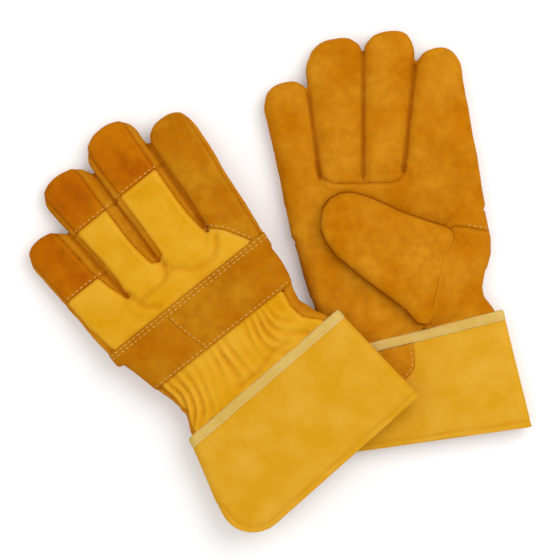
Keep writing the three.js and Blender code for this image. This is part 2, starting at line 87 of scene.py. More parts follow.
# %% Sizes of the gloves
MM = 0.001
HAND_HALF = 7.5
HAND_ROUND = 11.0
FINGER_HALF = 7.2
FINGER_ROUND = 10.0
CUFF_HALF = 6.0
CUFF_ROUND = 6.0
LEATHER = 1.5
CANVAS = 1.2
CUFF_CLOTH = 1.6
TAPE_WIDTH = 6.2
STRAP_DISTAL = 140.0
STRAP_PROXIMAL = 103.0
ELASTIC_PLACE = 86.0
VEIN_CENTRE = -6.0
VEIN_HALF = 13.0
VEIN_LENGTH = 28.6
RIGHT_LEVEL = 9.3
LEFT_LEVEL = 23.35

LEFT = {
    "name": "left",
    "dorsal": 1,
    "heading": 38.5,
    "place": (26.6, -115.4, LEFT_LEVEL),
    "tilt_across": 2.6,
    "tilt_along": -1.8,
    "droop": 5.0,
    "fold": 156.0,
    "thumb_thickness": 9.0,
    "lines": [
        (-66.8, -70.2, 215), (-32.3, -37.5, 218), (-2.6, -1, 222), (34.5, 38.5, 228), (64.5, 72, 226),
    ],
    "tips": [228, 253.5, 259.5, 240],
    "leans": [-0.8, -1.6, 1.1, -0.3],
    "crotches": [162, 168, 163],
    "sides": [
        (44, -58, 67), (66, -56, 67), (71, -53.5, 62), (78, -50.5, 58), (85, -50.9, 56),
        (91, -51.6, 53.4), (98, -54, 54.6), (108, -56.2, 58), (118, -58.2, 60), (131, -61.7, 60.2),
        (144, -64.8, 61.7), (156, -66.6, 64), (164, -67.6, 65),
    ],
    "seam": (67.3, 0.043),
    "cuff": [(-61, 56), (-73.4, 9), (74.9, -4), (68.3, 69)],
    "mouth": (-10.3, 0.058),
    "mouth_corner": 23.0,
    "tip_lines": [184, 215.5, 216.5],
}

RIGHT = {
    "name": "right",
    "dorsal": -1,
    "heading": 9.5,
    "place": (89.1, -102.4, RIGHT_LEVEL),
    "tilt_across": 0.0,
    "tilt_along": 0.0,
    "droop": 0.0,
    "fold": 169.5,
    "thumb_thickness": 12.0,
    "lines": [
        (-60.3, -62.7, 218), (-35, -33.2, 232), (-8, 5, 246), (18.5, 38.5, 243), (69, 68.4, 232),
    ],
    "tips": [244, 267, 266, 250],
    "leans": [1.7, 1.8, -2.4, -0.3],
    "crotches": [179, 175, 175],
    "sides": [
        (44, -59, 67), (68, -56, 66), (76, -52.5, 63.5), (85, -51, 58.6), (92, -51.3, 58.3),
        (100, -52.5, 61), (112, -54.3, 66.8), (122, -55.4, 68.4), (138, -57.2, 67.8), (154, -58.9, 68),
        (166, -59.9, 68.8), (176, -60.4, 68.9),
    ],
    "seam": (69.0, 0.08),
    "cuff": [(-60, 60), (-70, 4), (74, -1.8), (67.8, 74.5)],
    "mouth": (-1.6, -0.024),
    "mouth_corner": 3.0,
    "tip_lines": [200, 229, 223],
}

for glove in (LEFT, RIGHT):
    print(glove["name"], "tips at", glove["tips"], "crotches at", glove["crotches"], "mm from the mouth")

# %% [markdown]
# A soft form starts as a loft: rings of vertices from the circle operator, each stretched to the width and
# thickness that the glove has at that place, joined by bridge_loops and closed at both ends. It could start
# as a subdivided box, but rings keep the measured widths.

# %% Loft
RING_SIDES = 32
FLAT_REACHED = 4.0


def tube(sides, sections, placed):
    """Rings from the circle operator, one for each section, each vertex put in place and all joined."""
    bm = bmesh.new()
    loops = []
    for section in sections:
        made = bmesh.ops.create_circle(bm, segments=sides, radius=1.0)["verts"]
        for vert in made:
            vert.co = placed(section, vert.co.x, vert.co.y)
        loops.append([edge for edge in bm.edges if edge.verts[0] in made and edge.verts[1] in made])
    for near, far in zip(loops, loops[1:]):
        bmesh.ops.bridge_loops(bm, edges=near + far)
    return bm


def on_ring(section, cosine, sine):
    """A section is its middle, its half-width as a vector, its half-thickness and its rounding."""
    middle, half_width, half, rounding = section
    width = half_width.length
    flat = max(width - rounding, 0.0)
    rounding = min(rounding, width)
    sideways = math.copysign(flat, cosine) * min(1.0, abs(cosine) * FLAT_REACHED)
    across = half_width.normalized() * (rounding * cosine + sideways)
    return middle + across + Vector((0, 0, half * sine))


def loft(rings):
    bm = tube(RING_SIDES, rings, on_ring)
    bmesh.ops.holes_fill(bm, edges=[edge for edge in bm.edges if edge.is_boundary], sides=0)
    bmesh.ops.recalc_face_normals(bm, faces=bm.faces)
    return bm


# %% [markdown]
# A finger is a loft between its two side lines, closed by a round tip. The fingers of the photograph lie
# close together, so neighbours touch along the line between them, and their round sides leave a deep slit
# there. GROWTH makes up for what the smoothing takes off. No tip is even: each leans a little to a side.

# %% Rings of a finger and of the hand
SLIT_GAP = -0.1
OUTER_GROWTH = 0.4
FINGER_ROOT = 26.0
GROWTH = 0.9
STRAIGHT_STEPS = 10
TIP_STEPS = 8
TIP_ANGLE = 86
TIP_FULLNESS = 0.75
TIP_THINNEST = 0.25
LEAST_ROUNDING = 0.5
CROTCH_THINNING = 0.45


def side_at(glove, index, level):
    base, tip, tip_level = glove["lines"][index]
    return base + (tip - base) * (level - glove["fold"]) / (tip_level - glove["fold"])


def finger_edges(glove, index, level):
    """The left and right side of a finger at a level, with the gap to its neighbours taken off."""
    left = side_at(glove, index, level) + (SLIT_GAP if index else -OUTER_GROWTH)
    right = side_at(glove, index + 1, level) - (SLIT_GAP if index < 3 else -OUTER_GROWTH)
    return left, right


def finger_levels(glove, index):
    """For each ring its level, its share of the finger's width and how far up the round tip it is."""
    tip = glove["tips"][index] + GROWTH
    left, right = finger_edges(glove, index, tip)
    shoulder = tip - (right - left) / 2
    start = glove["fold"] - FINGER_ROOT
    levels = []
    for step in range(STRAIGHT_STEPS + 1):
        levels.append((start + (shoulder - start) * step / STRAIGHT_STEPS, 1.0, 0.0))
    for step in range(1, TIP_STEPS + 1):
        angle = math.radians(TIP_ANGLE * step / TIP_STEPS)
        rise = math.sin(angle)
        levels.append((shoulder + (tip - shoulder) * rise, math.cos(angle) ** TIP_FULLNESS, rise))
    return levels


def finger_rings(glove, index):
    rings = []
    for level, share, rise in finger_levels(glove, index):
        left, right = finger_edges(glove, index, level)
        middle = Vector(((left + right) / 2 + glove["leans"][index] * rise, level, 0))
        thickness = FINGER_HALF * min(1.0, TIP_THINNEST + (1 - TIP_THINNEST) * math.sqrt(share))
        rounding = max(FINGER_ROUND * share, LEAST_ROUNDING)
        rings.append((middle, Vector(((right - left) / 2 * share, 0, 0)), thickness, rounding))
    return rings


def hand_rings(glove):
    rings = []
    last = len(glove["sides"]) - 1
    for step, (level, left, right) in enumerate(glove["sides"]):
        thickness = HAND_HALF * (CROTCH_THINNING if step == last else 1.0)
        middle = Vector(((left + right) / 2, level, 0))
        rings.append((middle, Vector(((right - left + GROWTH) / 2, 0, 0)), thickness, HAND_ROUND))
    return rings


# %% [markdown]
# The heel of the thumb swells out of the palm, and the free thumb lies folded across it. Both are lofts
# across the hand: a row names the two ends of a ring in plan, its level above the hand's middle, half its
# thickness and how far in from its ends it is rounded.

# %% Rings of the thumb
HEEL_SECTIONS = [
    ((58, 113), (53, 95), 0.4, 4.4, 9),
    ((55, 121), (48, 83), 1.6, 6.2, 16),
    ((49, 128), (37, 72), 4.4, 8.4, 20),
    ((42, 133), (17, 66), 7.6, 11.2, 24),
    ((37, 134), (10, 72), 3.0, 5.6, 20),
]
THUMB_SECTIONS = [
    ((46, 131), (20, 72), 12.6, 5.0, 14),
    ((41, 135), (12, 75), 13.6, 5.6, 12),
    ((29, 141), (6, 85), 13.8, 5.9, 11),
    ((14, 149), (-4, 96), 13.8, 6.0, 10),
    ((-4, 161), (-16, 108), 13.8, 6.0, 10),
    ((-14, 166.3), (-25, 118), 13.8, 6.0, 10),
    ((-23, 167.5), (-33, 127), 13.8, 5.8, 10),
    ((-30, 165.5), (-38, 137), 13.8, 5.2, 9),
    ((-36, 160), (-40.3, 146), 13.8, 3.6, 6),
]
FULL_THUMB = 12.0


def cross_rings(glove, sections):
    """Rings across the palm. Their levels are the right thumb's; the left thumb is pressed flatter."""
    palm = -glove["dorsal"]
    squeeze = glove["thumb_thickness"] / FULL_THUMB
    rings = []
    for upper, lower, middle, half, rounding in sections:
        top = middle + half
        if top > HAND_HALF:
            pressed = HAND_HALF + (top - HAND_HALF) * squeeze
            half *= pressed / top
            middle *= pressed / top
        upper = Vector((upper[0], upper[1], 0))
        lower = Vector((lower[0], lower[1], 0))
        centre = (upper + lower) / 2 + Vector((0, 0, palm * middle))
        rings.append((centre, (upper - lower) / 2, half, rounding))
    return rings


# %% [markdown]
# The lofts overlap, and a voxel remesh melts them into one even skin of small quads. A boolean union would
# leave a hard edge where two of them meet. A few rounds of smooth_vert take the steps out of the skin.

# %% Melt the lofts into one skin
VOXEL = 1.1
SMOOTHINGS = 3


def applied(obj):
    """The object's mesh with its modifiers in it; the object itself is removed."""
    bpy.context.view_layer.update()
    depsgraph = bpy.context.evaluated_depsgraph_get()
    mesh = bpy.data.meshes.new_from_object(obj.evaluated_get(depsgraph))
    bpy.data.objects.remove(obj, do_unlink=True)
    return mesh


def melted(lofts):
    bm = bmesh.new()
    for part in lofts:
        mesh = bpy.data.meshes.new("loft")
        part.to_mesh(mesh)
        part.free()
        bm.from_mesh(mesh)
    mesh = bpy.data.meshes.new("lofts")
    bm.to_mesh(mesh)
    bm.free()
    obj = bpy.data.objects.new("lofts", mesh)
    scene.collection.objects.link(obj)
    remesh = obj.modifiers.new("melt", "REMESH")
    remesh.mode = "VOXEL"
    remesh.voxel_size = VOXEL
    skin = applied(obj)
    bm = bmesh.new()
    bm.from_mesh(skin)
    for _ in range(SMOOTHINGS):
        bmesh.ops.smooth_vert(
            bm, verts=bm.verts, factor=0.5, use_axis_x=True, use_axis_y=True, use_axis_z=True
        )
    return bm


# %% [markdown]
# A worn glove keeps some of the fullness of the hand. A coarse copy of the skin is blown up a little as
# cloth, with pressure inside and no gravity, and the fine skin takes a share of its movement. Most of the
# swelling goes up and down, so that the outline stays, and less on the side that rests on the floor. The
# fullness could be sculpted by hand, but cloth finds by itself where a form is slack.

# %% Swell the skin as cloth
COARSE = 0.005
SIMULATED_FRAMES = 20
CLOTH_QUALITY = 5
CLOTH_MASS = 0.3
PRESSURE = 4.0
NEAREST_POINTS = 5
SWELL_SHARE = 0.09
SWELL_SIDEWAYS = 0.3
SWELL_DOWNWARDS = 0.35
SWELL_CAP = 2.2


def tree_of(points):
    """A search tree that finds the nearest of the points."""
    tree = KDTree(len(points))
    for index, co in enumerate(points):
        tree.insert(co, index)
    tree.balance()
    return tree


def as_cloth(obj):
    """Blows up an object as cloth and returns its vertices' places before and after, in metres."""
    before = [vert.co.copy() for vert in obj.data.vertices]
    cloth = obj.modifiers.new("swell", "CLOTH")
    cloth.settings.quality = CLOTH_QUALITY
    cloth.settings.mass = CLOTH_MASS
    cloth.settings.use_pressure = True
    cloth.settings.uniform_pressure_force = PRESSURE
    cloth.settings.effector_weights.gravity = 0.0
    cloth.point_cache.frame_start = 1
    cloth.point_cache.frame_end = SIMULATED_FRAMES
    for number in range(1, SIMULATED_FRAMES + 1):
        scene.frame_set(number)
    mesh = applied(obj)
    after = [vert.co.copy() for vert in mesh.vertices]
    bpy.data.meshes.remove(mesh)
    scene.frame_set(1)
    return before, after


def coarse_copy(bm):
    """The same form in metres, with few and even faces, which a cloth simulation needs."""
    mesh = bpy.data.meshes.new("slack")
    bm.to_mesh(mesh)
    mesh.transform(Matrix.Scale(MM, 4))
    rough = bpy.data.objects.new("slack", mesh)
    scene.collection.objects.link(rough)
    remesh = rough.modifiers.new("coarse", "REMESH")
    remesh.mode = "VOXEL"
    remesh.voxel_size = COARSE
    coarse = bpy.data.objects.new("slack_cloth", applied(rough))
    scene.collection.objects.link(coarse)
    return coarse


def swell(glove, bm):
    before, after = as_cloth(coarse_copy(bm))
    tree = tree_of(before)
    most = 0.0
    for vert in bm.verts:
        move = Vector()
        weights = 0.0
        for _, index, gap in tree.find_n(vert.co * MM, NEAREST_POINTS):
            weight = 1 / (gap + MM)
            move += (after[index] - before[index]) * weight
            weights += weight
        move = move / weights / MM * SWELL_SHARE
        most = max(most, move.length)
        move.x *= SWELL_SIDEWAYS
        move.y *= SWELL_SIDEWAYS
        move.z *= SWELL_DOWNWARDS if move.z < 0 else 1.0
        if move.length > SWELL_CAP:
            move *= SWELL_CAP / move.length
        vert.co += move
    print(glove["name"], "cloth of", len(before), "points, its share moves up to", round(most, 2), "mm")


# %% [markdown]
# Seams are cut into the skin with bisect_plane, one straight run at a time, and only on the side of the
# glove where the seam lies. The panels between them are then told apart by where their faces are. The knife
# tool or a boolean could cut too, but a plane leaves clean edges exactly on the line.

# %% Cut along a seam
SNAP = 0.02
CUT_BAND = 3.0
CUT_THROUGH = 1.0
CUT_PAST_END = 1.5


def cut_seam(bm, points, side):
    for start, end in zip(points, points[1:]):
        a = Vector((start[0], start[1], 0))
        b = Vector((end[0], end[1], 0))
        along = (b - a).normalized()
        length = (b - a).length
        normal = Vector((-along.y, along.x, 0))
        faces = []
        for face in bm.faces:
            co = face.verts[0].co
            offset = (co.x - a.x) * normal.x + (co.y - a.y) * normal.y
            if abs(offset) < CUT_BAND and co.z * side > -CUT_THROUGH:
                place = (co.x - a.x) * along.x + (co.y - a.y) * along.y
                if -CUT_PAST_END < place < length + CUT_PAST_END:
                    faces.append(face)
        edges = {edge for face in faces for edge in face.edges}
        verts = {vert for face in faces for vert in face.verts}
        found = [*verts, *edges, *faces]
        bmesh.ops.bisect_plane(bm, geom=found, dist=SNAP, plane_co=a, plane_no=normal)


def cut_through(bm, place, normal, snap=SNAP, **clear):
    """Cuts the whole form with a plane. clear_inner or clear_outer throws one side of it away."""
    everything = [*bm.verts, *bm.edges, *bm.faces]
    bmesh.ops.bisect_plane(bm, geom=everything, dist=snap, plane_co=place, plane_no=normal, **clear)


def kept(host, chosen):
    """A copy of the host with only its chosen faces."""
    bm = host.copy()
    bm.faces.ensure_lookup_table()
    others = [bm.faces[index] for index in np.flatnonzero(~chosen)]
    bmesh.ops.delete(bm, geom=others, context="FACES")
    return bm


# %% [markdown]
# Two questions come up for every place on the skin: does it lie inside an outline, and how far is it from a
# line? Both are answered in plan, and for all places at once, with numpy.

# %% Inside an outline, beside a line
def inside(points, u, v):
    """Which of the places lie inside a closed outline in plan."""
    found = np.zeros(len(u), dtype=bool)
    for (au, av), (bu, bv) in zip(points, [*points[1:], points[0]]):
        if av == bv:
            continue
        crosses = (av > v) != (bv > v)
        found ^= crosses & (u < (bu - au) * (v - av) / (bv - av) + au)
    return found


def distance_to(points, u, v):
    """How far each place is from a seam in plan."""
    nearest = np.full(len(u), 1e9)
    for (au, av), (bu, bv) in zip(points, points[1:]):
        du, dv = bu - au, bv - av
        share = np.clip(((u - au) * du + (v - av) * dv) / (du * du + dv * dv), 0, 1)
        nearest = np.minimum(nearest, np.hypot(u - au - share * du, v - av - share * dv))
    return nearest


def shifted(line, distance):
    """The line moved sideways by a distance."""
    moved = []
    for index, (u, v) in enumerate(line):
        before, after = line[max(index - 1, 0)], line[min(index + 1, len(line) - 1)]
        along = (Vector(after) - Vector(before)).normalized()
        moved.append((u - along.y * distance, v + along.x * distance))
    return moved


# %% [markdown]
# Each glove's pieces are finished flat, so one function bends the fingers down at the crotch line, turns
# the glove into its place on the floor and goes from millimetres to metres. It first keeps the flat places
# as a map, which the weave of a cloth follows, and it flattens what would sink into the floor.

# %% Put a piece in its place
BEND_REACH = 9.0
FLOOR_GAP = 0.00005


def glove_matrix(glove):
    angles = (glove["tilt_along"], -glove["tilt_across"], glove["heading"])
    turn = Euler([math.radians(angle) for angle in angles], "XYZ")
    return Matrix.Translation(Vector(glove["place"])) @ turn.to_matrix().to_4x4()


def eased(share):
    """A share between 0 and 1 that starts and ends gently."""
    share = min(max(share, 0), 1)
    return share * share * (3 - 2 * share)


def drooped(glove, co):
    """A place on the fingers, turned down about the crotch line by the glove's droop."""
    share = eased((co.y - glove["fold"] + BEND_REACH) / (2 * BEND_REACH))
    if share == 0 or glove["droop"] == 0:
        return co
    pivot = Vector((0, glove["fold"], HAND_HALF))
    angle = -math.radians(glove["droop"]) * share
    return pivot + Matrix.Rotation(angle, 3, "X") @ (co - pivot)


def finished(bm, glove, name, material, thickness=0.0, droops=True):
    """A new object from a flat piece: given its thickness, put in place and smoothed."""
    mesh = bpy.data.meshes.new(name)
    bm.to_mesh(mesh)
    bm.free()
    if thickness:
        rough = bpy.data.objects.new(name + "_flat", mesh)
        scene.collection.objects.link(rough)
        wall = rough.modifiers.new("thickness", "SOLIDIFY")
        wall.thickness = thickness
        wall.offset = -1.0
        mesh = applied(rough)
    flat_map = mesh.uv_layers.new(name="flat")
    for loop in mesh.loops:
        co = mesh.vertices[loop.vertex_index].co
        flat_map.data[loop.index].uv = (co.x * MM, co.y * MM)
    if droops:
        for vert in mesh.vertices:
            vert.co = drooped(glove, vert.co.copy())
    mesh.transform(Matrix.Scale(MM, 4) @ glove_matrix(glove))
    for vert in mesh.vertices:
        vert.co.z = max(vert.co.z, FLOOR_GAP)
    mesh.materials.clear()
    mesh.materials.append(material)
    mesh.shade_smooth()
    obj = bpy.data.objects.new(f"{glove['name']}_glove_{name}", mesh)
    scene.collection.objects.link(obj)
    return obj


# %% [markdown]
# The finishes are made of nodes. Short helpers add a node with its settings and input values, do sums,
# blend colours and start a node group, so that the groups below read as what they make.

# %% Node helpers
WHITE = (1, 1, 1, 1)
BLACK = (0, 0, 0, 1)
GAMMA = 2.2
SHARED_INPUTS = [
    ("Place", "Vector", None), ("Colour", "Color", WHITE), ("Light", "Color", WHITE),
    ("Dark", "Color", BLACK), ("Crease_shade", "Float", 0.0), ("Rub", "Float", 0.0),
]
OUTPUTS = [("Colour", "Color"), ("Roughness", "Float"), ("Height", "Float")]


def linear(colour):
    """A colour from its everyday 0 to 255 values."""
    return (*[(value / 255) ** GAMMA for value in colour], 1.0)


def add_node(tree, kind, settings=(), **values):
    """The inputs are given by their names, or as i0, i1 and so on by their order."""
    node = tree.nodes.new("ShaderNode" + kind)
    for name, value in dict(settings).items():
        setattr(node, name, value)
    for name, value in values.items():
        by_order = name[0] == "i" and name[1:].isdigit()
        socket = node.inputs[int(name[1:]) if by_order else name]
        if isinstance(value, bpy.types.NodeSocket):
            tree.links.new(value, socket)
        else:
            socket.default_value = value
    return node


def maths(tree, operation, *values, clamp=False):
    settings = {"operation": operation, "use_clamp": clamp}
    inputs = {f"i{place}": value for place, value in enumerate(values)}
    return add_node(tree, "Math", settings, **inputs).outputs[0]


def sharpened(tree, value, gain, offset):
    """Turns the soft middle greys of a noise into patches with an edge."""
    return maths(tree, "MULTIPLY_ADD", value, gain, offset, clamp=True)


def tinted(tree, colour, tint, mask, amount):
    """The colour moved towards a tint. Factor, A and B are the sockets 0, 6 and 7 when colours are mixed."""
    share = maths(tree, "MULTIPLY", mask, amount, clamp=True)
    return add_node(tree, "Mix", {"data_type": "RGBA"}, i0=share, i6=colour, i7=tint).outputs[2]


def noise_at(tree, place, scale, detail=3.0, roughness=0.55):
    values = {"Vector": place, "Scale": scale, "Detail": detail, "Roughness": roughness}
    return add_node(tree, "TexNoise", **values).outputs["Fac"]


def new_group(name, own_inputs=()):
    """A node group with the inputs and outputs that all finishes share, and inputs of its own."""
    group = bpy.data.node_groups.new(name, "ShaderNodeTree")
    for title, kind, value in [*SHARED_INPUTS, *own_inputs]:
        socket = group.interface.new_socket(title, in_out="INPUT", socket_type="NodeSocket" + kind)
        if value is not None:
            socket.default_value = value
    for title, kind in OUTPUTS:
        group.interface.new_socket(title, in_out="OUTPUT", socket_type="NodeSocket" + kind)
    return group, group.nodes.new("NodeGroupInput").outputs, group.nodes.new("NodeGroupOutput").inputs


def put_out(group, result, **values):
    for title, value in values.items():
        group.links.new(value, result[title])
    print("group", group.name, "has", len(group.nodes), "nodes")


# %% [markdown]
# Split leather is the inner layer of a hide, brushed to a nap. Noise at several scales makes it look so:
# blotches of dye as wide as a thumb, a mottling of a few millimetres where fibres lie one way or the other,
# and the fibres themselves, which lie in clumps. Photographs of suede could be wrapped on instead, but
# noise has no seams and can be looked at up close.

# %% Suede
FIBRE_STRETCH = (1.0, 0.35, 1.0)


def suede_group():
    group, given, result = new_group("suede")
    place = given["Place"]
    blotch = noise_at(group, place, scale=38.0, detail=2.0)
    mottle = noise_at(group, place, scale=170.0, detail=4.0, roughness=0.6)
    clumps = noise_at(group, place, scale=420.0, roughness=0.6)
    stretched = add_node(group, "Mapping", Vector=place, Scale=FIBRE_STRETCH).outputs[0]
    fibre = noise_at(group, stretched, scale=1500.0, roughness=0.7)
    dyed = sharpened(group, blotch, gain=3.4, offset=-1.25)
    brushed = sharpened(group, mottle, gain=3.6, offset=-1.4)
    specks = sharpened(group, fibre, gain=1.6, offset=-0.55)
    colour = tinted(group, given["Colour"], given["Light"], dyed, amount=0.75)
    colour = tinted(group, colour, given["Dark"], brushed, amount=0.3)
    colour = tinted(group, colour, given["Light"], specks, amount=0.22)
    colour = tinted(group, colour, given["Light"], given["Rub"], amount=mottle)
    # Creases, seams and slits are darkened here: a painted shade.
    colour = tinted(group, colour, given["Dark"], given["Crease_shade"], amount=0.8)
    roughness = maths(group, "MULTIPLY_ADD", fibre, 0.12, 0.86)
    nap = maths(group, "MULTIPLY", fibre, 0.35)
    height = maths(group, "ADD", nap, maths(group, "MULTIPLY", clumps, 0.65))
    put_out(group, result, Colour=colour, Roughness=roughness, Height=height)
    return group


SUEDE = suede_group()

# %% [markdown]
# Cotton canvas is a plain weave: each thread goes over one and under the next. Two sine waves, one for the
# threads across and one for those along, are multiplied, so the raised squares make a chequered relief.
# The pattern reads the piece's own flat map, in metres, so it follows the cloth round every fold. Real
# threads could be modelled, but at under a millimetre each they would cost far more than they show.

# %% Weave
WEAVE_INPUTS = [("Map", "Vector", None), ("Pitch", "Float", 0.0008), ("Rib", "Float", 0.0)]


def weave_relief(group, given):
    """The height of the woven surface, with threads that wander a little. Rib leans them like a tape's."""
    parts = add_node(group, "SeparateXYZ", Vector=given["Map"])
    turns = maths(group, "DIVIDE", 2 * math.pi, given["Pitch"])
    wander = noise_at(group, given["Place"], scale=260.0, detail=2.0)
    wobble = maths(group, "MULTIPLY", wander, 2.2)
    across = maths(group, "ADD", maths(group, "MULTIPLY", parts.outputs[0], turns), wobble)
    leaning = maths(group, "MULTIPLY", across, given["Rib"])
    along = maths(group, "ADD", maths(group, "MULTIPLY", parts.outputs[1], turns), leaning)
    crossing = maths(group, "MULTIPLY", maths(group, "SINE", across), maths(group, "SINE", along))
    return maths(group, "MULTIPLY_ADD", crossing, 0.5, 0.5)


def weave_group():
    group, given, result = new_group("weave", WEAVE_INPUTS)
    height = weave_relief(group, given)
    low = maths(group, "SUBTRACT", 1.0, height)
    fade = noise_at(group, given["Place"], scale=45.0)
    thread = noise_at(group, given["Place"], scale=900.0, detail=2.0)
    faded = sharpened(group, fade, gain=3.0, offset=-1.1)
    colour = tinted(group, given["Colour"], given["Light"], faded, amount=0.6)
    # The low parts of the weave are darkened: a painted shade between the threads.
    colour = tinted(group, colour, given["Dark"], low, amount=0.22)
    colour = tinted(group, colour, given["Light"], thread, amount=0.18)
    colour = tinted(group, colour, given["Light"], given["Rub"], amount=0.6)
    # Creases, folds and pleat valleys are darkened here: a painted shade.
    colour = tinted(group, colour, given["Dark"], given["Crease_shade"], amount=0.85)
    roughness = maths(group, "MULTIPLY_ADD", low, 0.15, 0.72)
    put_out(group, result, Colour=colour, Roughness=roughness, Height=height)
    return group


WEAVE = weave_group()

# %% [markdown]
# Each finish is one of the two groups with its own three colours, joined to a Principled shader. The crease
# shade attribute comes from the sculpting: it is high in the valleys, seams and slits, where the colour is
# darkened as a painted shade, with some dirt in the seams. The nap and the cotton lining have a faint
# sheen. "bump" is the depth of the relief in millimetres.

# %% Build the finishes
BUMP_STRENGTH = 0.6
SHEEN_ROUGHNESS = 0.6
SHEEN_COLOUR = (255, 170, 50)
SHINE = 0.04


def finish(name, group, colour, light, dark, bump, sheen=0.0, **values):
    material = bpy.data.materials.new(name)
    material.use_nodes = True
    tree = material.node_tree
    effect = tree.nodes.new("ShaderNodeGroup")
    effect.node_tree = group
    given = {
        "Place": add_node(tree, "TexCoord").outputs["Object"],
        "Crease_shade": add_node(tree, "Attribute", {"attribute_name": "crease_shade"}).outputs["Fac"],
        "Rub": add_node(tree, "Attribute", {"attribute_name": "rub"}).outputs["Fac"],
    }
    if "Map" in effect.inputs:
        given["Map"] = add_node(tree, "UVMap", {"uv_map": "flat"}).outputs[0]
    for title, value in given.items():
        tree.links.new(value, effect.inputs[title])
    own = {"Colour": linear(colour), "Light": linear(light), "Dark": linear(dark), **values}
    for title, value in own.items():
        effect.inputs[title].default_value = value
    relief = {"Strength": BUMP_STRENGTH, "Distance": bump * MM, "Height": effect.outputs["Height"]}
    shader = tree.nodes["Principled BSDF"].inputs
    tree.links.new(effect.outputs["Colour"], shader["Base Color"])
    tree.links.new(effect.outputs["Roughness"], shader["Roughness"])
    tree.links.new(add_node(tree, "Bump", **relief).outputs[0], shader["Normal"])
    shader["Sheen Weight"].default_value = sheen
    shader["Sheen Roughness"].default_value = SHEEN_ROUGHNESS
    shader["Sheen Tint"].default_value = linear(SHEEN_COLOUR)
    shader["Specular IOR Level"].default_value = SHINE
    return material


SPLIT_LEATHER = finish(
    "split_leather", SUEDE, (189, 113, 3), (207, 139, 32), (146, 75, 0), bump=0.6, sheen=0.12
)
BACK_LEATHER = finish(
    "back_leather", SUEDE, (178, 103, 2), (198, 133, 27), (136, 68, 0), bump=0.6, sheen=0.12
)
PATCH_LEATHER = finish(
    "patch_leather", SUEDE, (177, 92, 0), (196, 118, 12), (132, 54, 0), bump=0.6, sheen=0.1
)
BACK_CANVAS = finish(
    "back_canvas", WEAVE, (217, 150, 6), (239, 181, 58), (190, 116, 0), bump=0.25, Pitch=0.0011
)
CUFF_CANVAS = finish(
    "cuff_canvas", WEAVE, (213, 152, 24), (231, 177, 66), (196, 128, 8), bump=0.15, Pitch=0.0008
)
SEAM_TAPE = finish(
    "seam_tape", WEAVE, (212, 172, 78), (230, 202, 130), (190, 144, 58), bump=0.4, Pitch=0.0016, Rib=1.0
)
COTTON = finish(
    "cotton_lining", WEAVE, (232, 224, 204), (240, 235, 222), (205, 195, 170),
    bump=0.3, sheen=0.1, Pitch=0.0014,
)
ELASTIC = finish(
    "elastic", WEAVE, (240, 236, 224), (246, 243, 235), (200, 196, 186), bump=0.4, Pitch=0.0012
)
THREAD = finish(
    "thread", WEAVE, (220, 182, 92), (232, 204, 130), (184, 130, 50), bump=0.1, Pitch=0.0006, Rib=1.0
)

print("finishes", [material.name for material in (SPLIT_LEATHER, BACK_CANVAS, CUFF_CANVAS, THREAD)])

# %% [markdown]
# The seams of each side of a glove, as lines in plan: the edge of the back's canvas, the seam that sets in
# the index finger's leather back, the gunn-cut seam at the foot of the two middle fingers, and the wing of
# the thumb. A fourchette is a strip sewn between two fingers, and shows along the slit between them: the
# gussets give how wide it is at the crotch and further up, first to the left of the slit and then right.
# Lines serve four times: to cut the skin, to tell its panels apart, to sculpt the seams and to sew.

# %% Seam lines
SEAMS = {
    "left": {
        "gunn": [
            (-32.3, 176), (-31, 170), (-26, 167), (-15, 165), (-2.6, 164), (8, 163), (20, 162.5),
            (29, 164), (33.5, 168), (34.5, 176),
        ],
        "index_back": [
            (35, 176), (34.6, 168), (38, 163), (44, 157), (51, 145), (56.5, 134), (58.5, 126),
        ],
        "little_edge": [
            (-54, 60), (-53, 68), (-49.2, 78), (-49.2, 90), (-51.8, 103), (-56.6, 118), (-61.5, 138),
            (-64.2, 156),
        ],
        "index_edge": [
            (58.5, 126), (54, 115), (50.4, 105), (48.4, 98), (47.2, 91), (49, 81), (57, 73), (62, 62),
        ],
        "gussets": [((0.5, 5.6), (0.5, 3.4)), ((3.6, 7.6), (4.4, 4.6)), ((1.0, 4.4), (0.7, 1.8))],
    },
    "right": {
        "gunn": [
            (-35, 190), (-34.6, 181), (-31, 177), (-26, 174.2), (-15, 172.4), (-6, 171.5), (3.3, 169.5),
            (11, 168.6), (16, 170), (19.3, 173), (20.4, 178),
        ],
        "index_back": [
            (18.5, 186), (18.5, 178), (26, 170), (38, 162), (50, 148), (60, 135), (62.5, 126),
        ],
        "little_edge": [
            (-54, 60), (-52, 70), (-48.5, 80), (-48.5, 92), (-49.5, 105), (-51, 122), (-53, 142),
            (-54.5, 165),
        ],
        "index_edge": [(62.5, 126), (62, 116), (57, 104), (53, 94), (53, 85), (58, 77), (62, 62)],
        "gussets": [((0.6, 5.0), (0.6, 3.6)), ((3.0, 6.0), (3.4, 4.4)), ((0.8, 4.4), (0.8, 3.0))],
    },
}
WING_SEAM = [
    (2, 40), (11, 60), (15, 69), (27, 96), (36, 119), (41, 131), (46, 134), (54, 132), (64, 128.5),
    (80, 126),
]
WING_LEVELS = (126, 40)
OUTSIDE = 95
FRONT_GUSSET = ((0.6, 0.9), (0.6, 0.9))
GUSSET_GROWS = 30.0
GUSSET_RISES = (1.2, 4, 9, 15, 22, 30, 45)
EDGE_INSET = 1.7
EDGE_OVERLAP = 6
INDEX_EDGE_START = 140
SLIT_TOP = 275


def side_strip(glove, index, inset, start, end=SLIT_TOP, steps=8):
    """A finger's side line from a level up to past its tip, moved in by an inset."""
    return [(side_at(glove, index, level) + inset, level) for level in np.linspace(start, end, steps)]


def little_line(glove):
    """The edge of the canvas from the cuff up along the little finger's outer side."""
    edge = SEAMS[glove["name"]]["little_edge"]
    return [*edge, *side_strip(glove, 0, EDGE_INSET, edge[-1][1] + EDGE_OVERLAP)]


def index_line(glove):
    """The edge of the index finger's leather back along its outer side."""
    return side_strip(glove, 4, -EDGE_INSET, INDEX_EDGE_START)


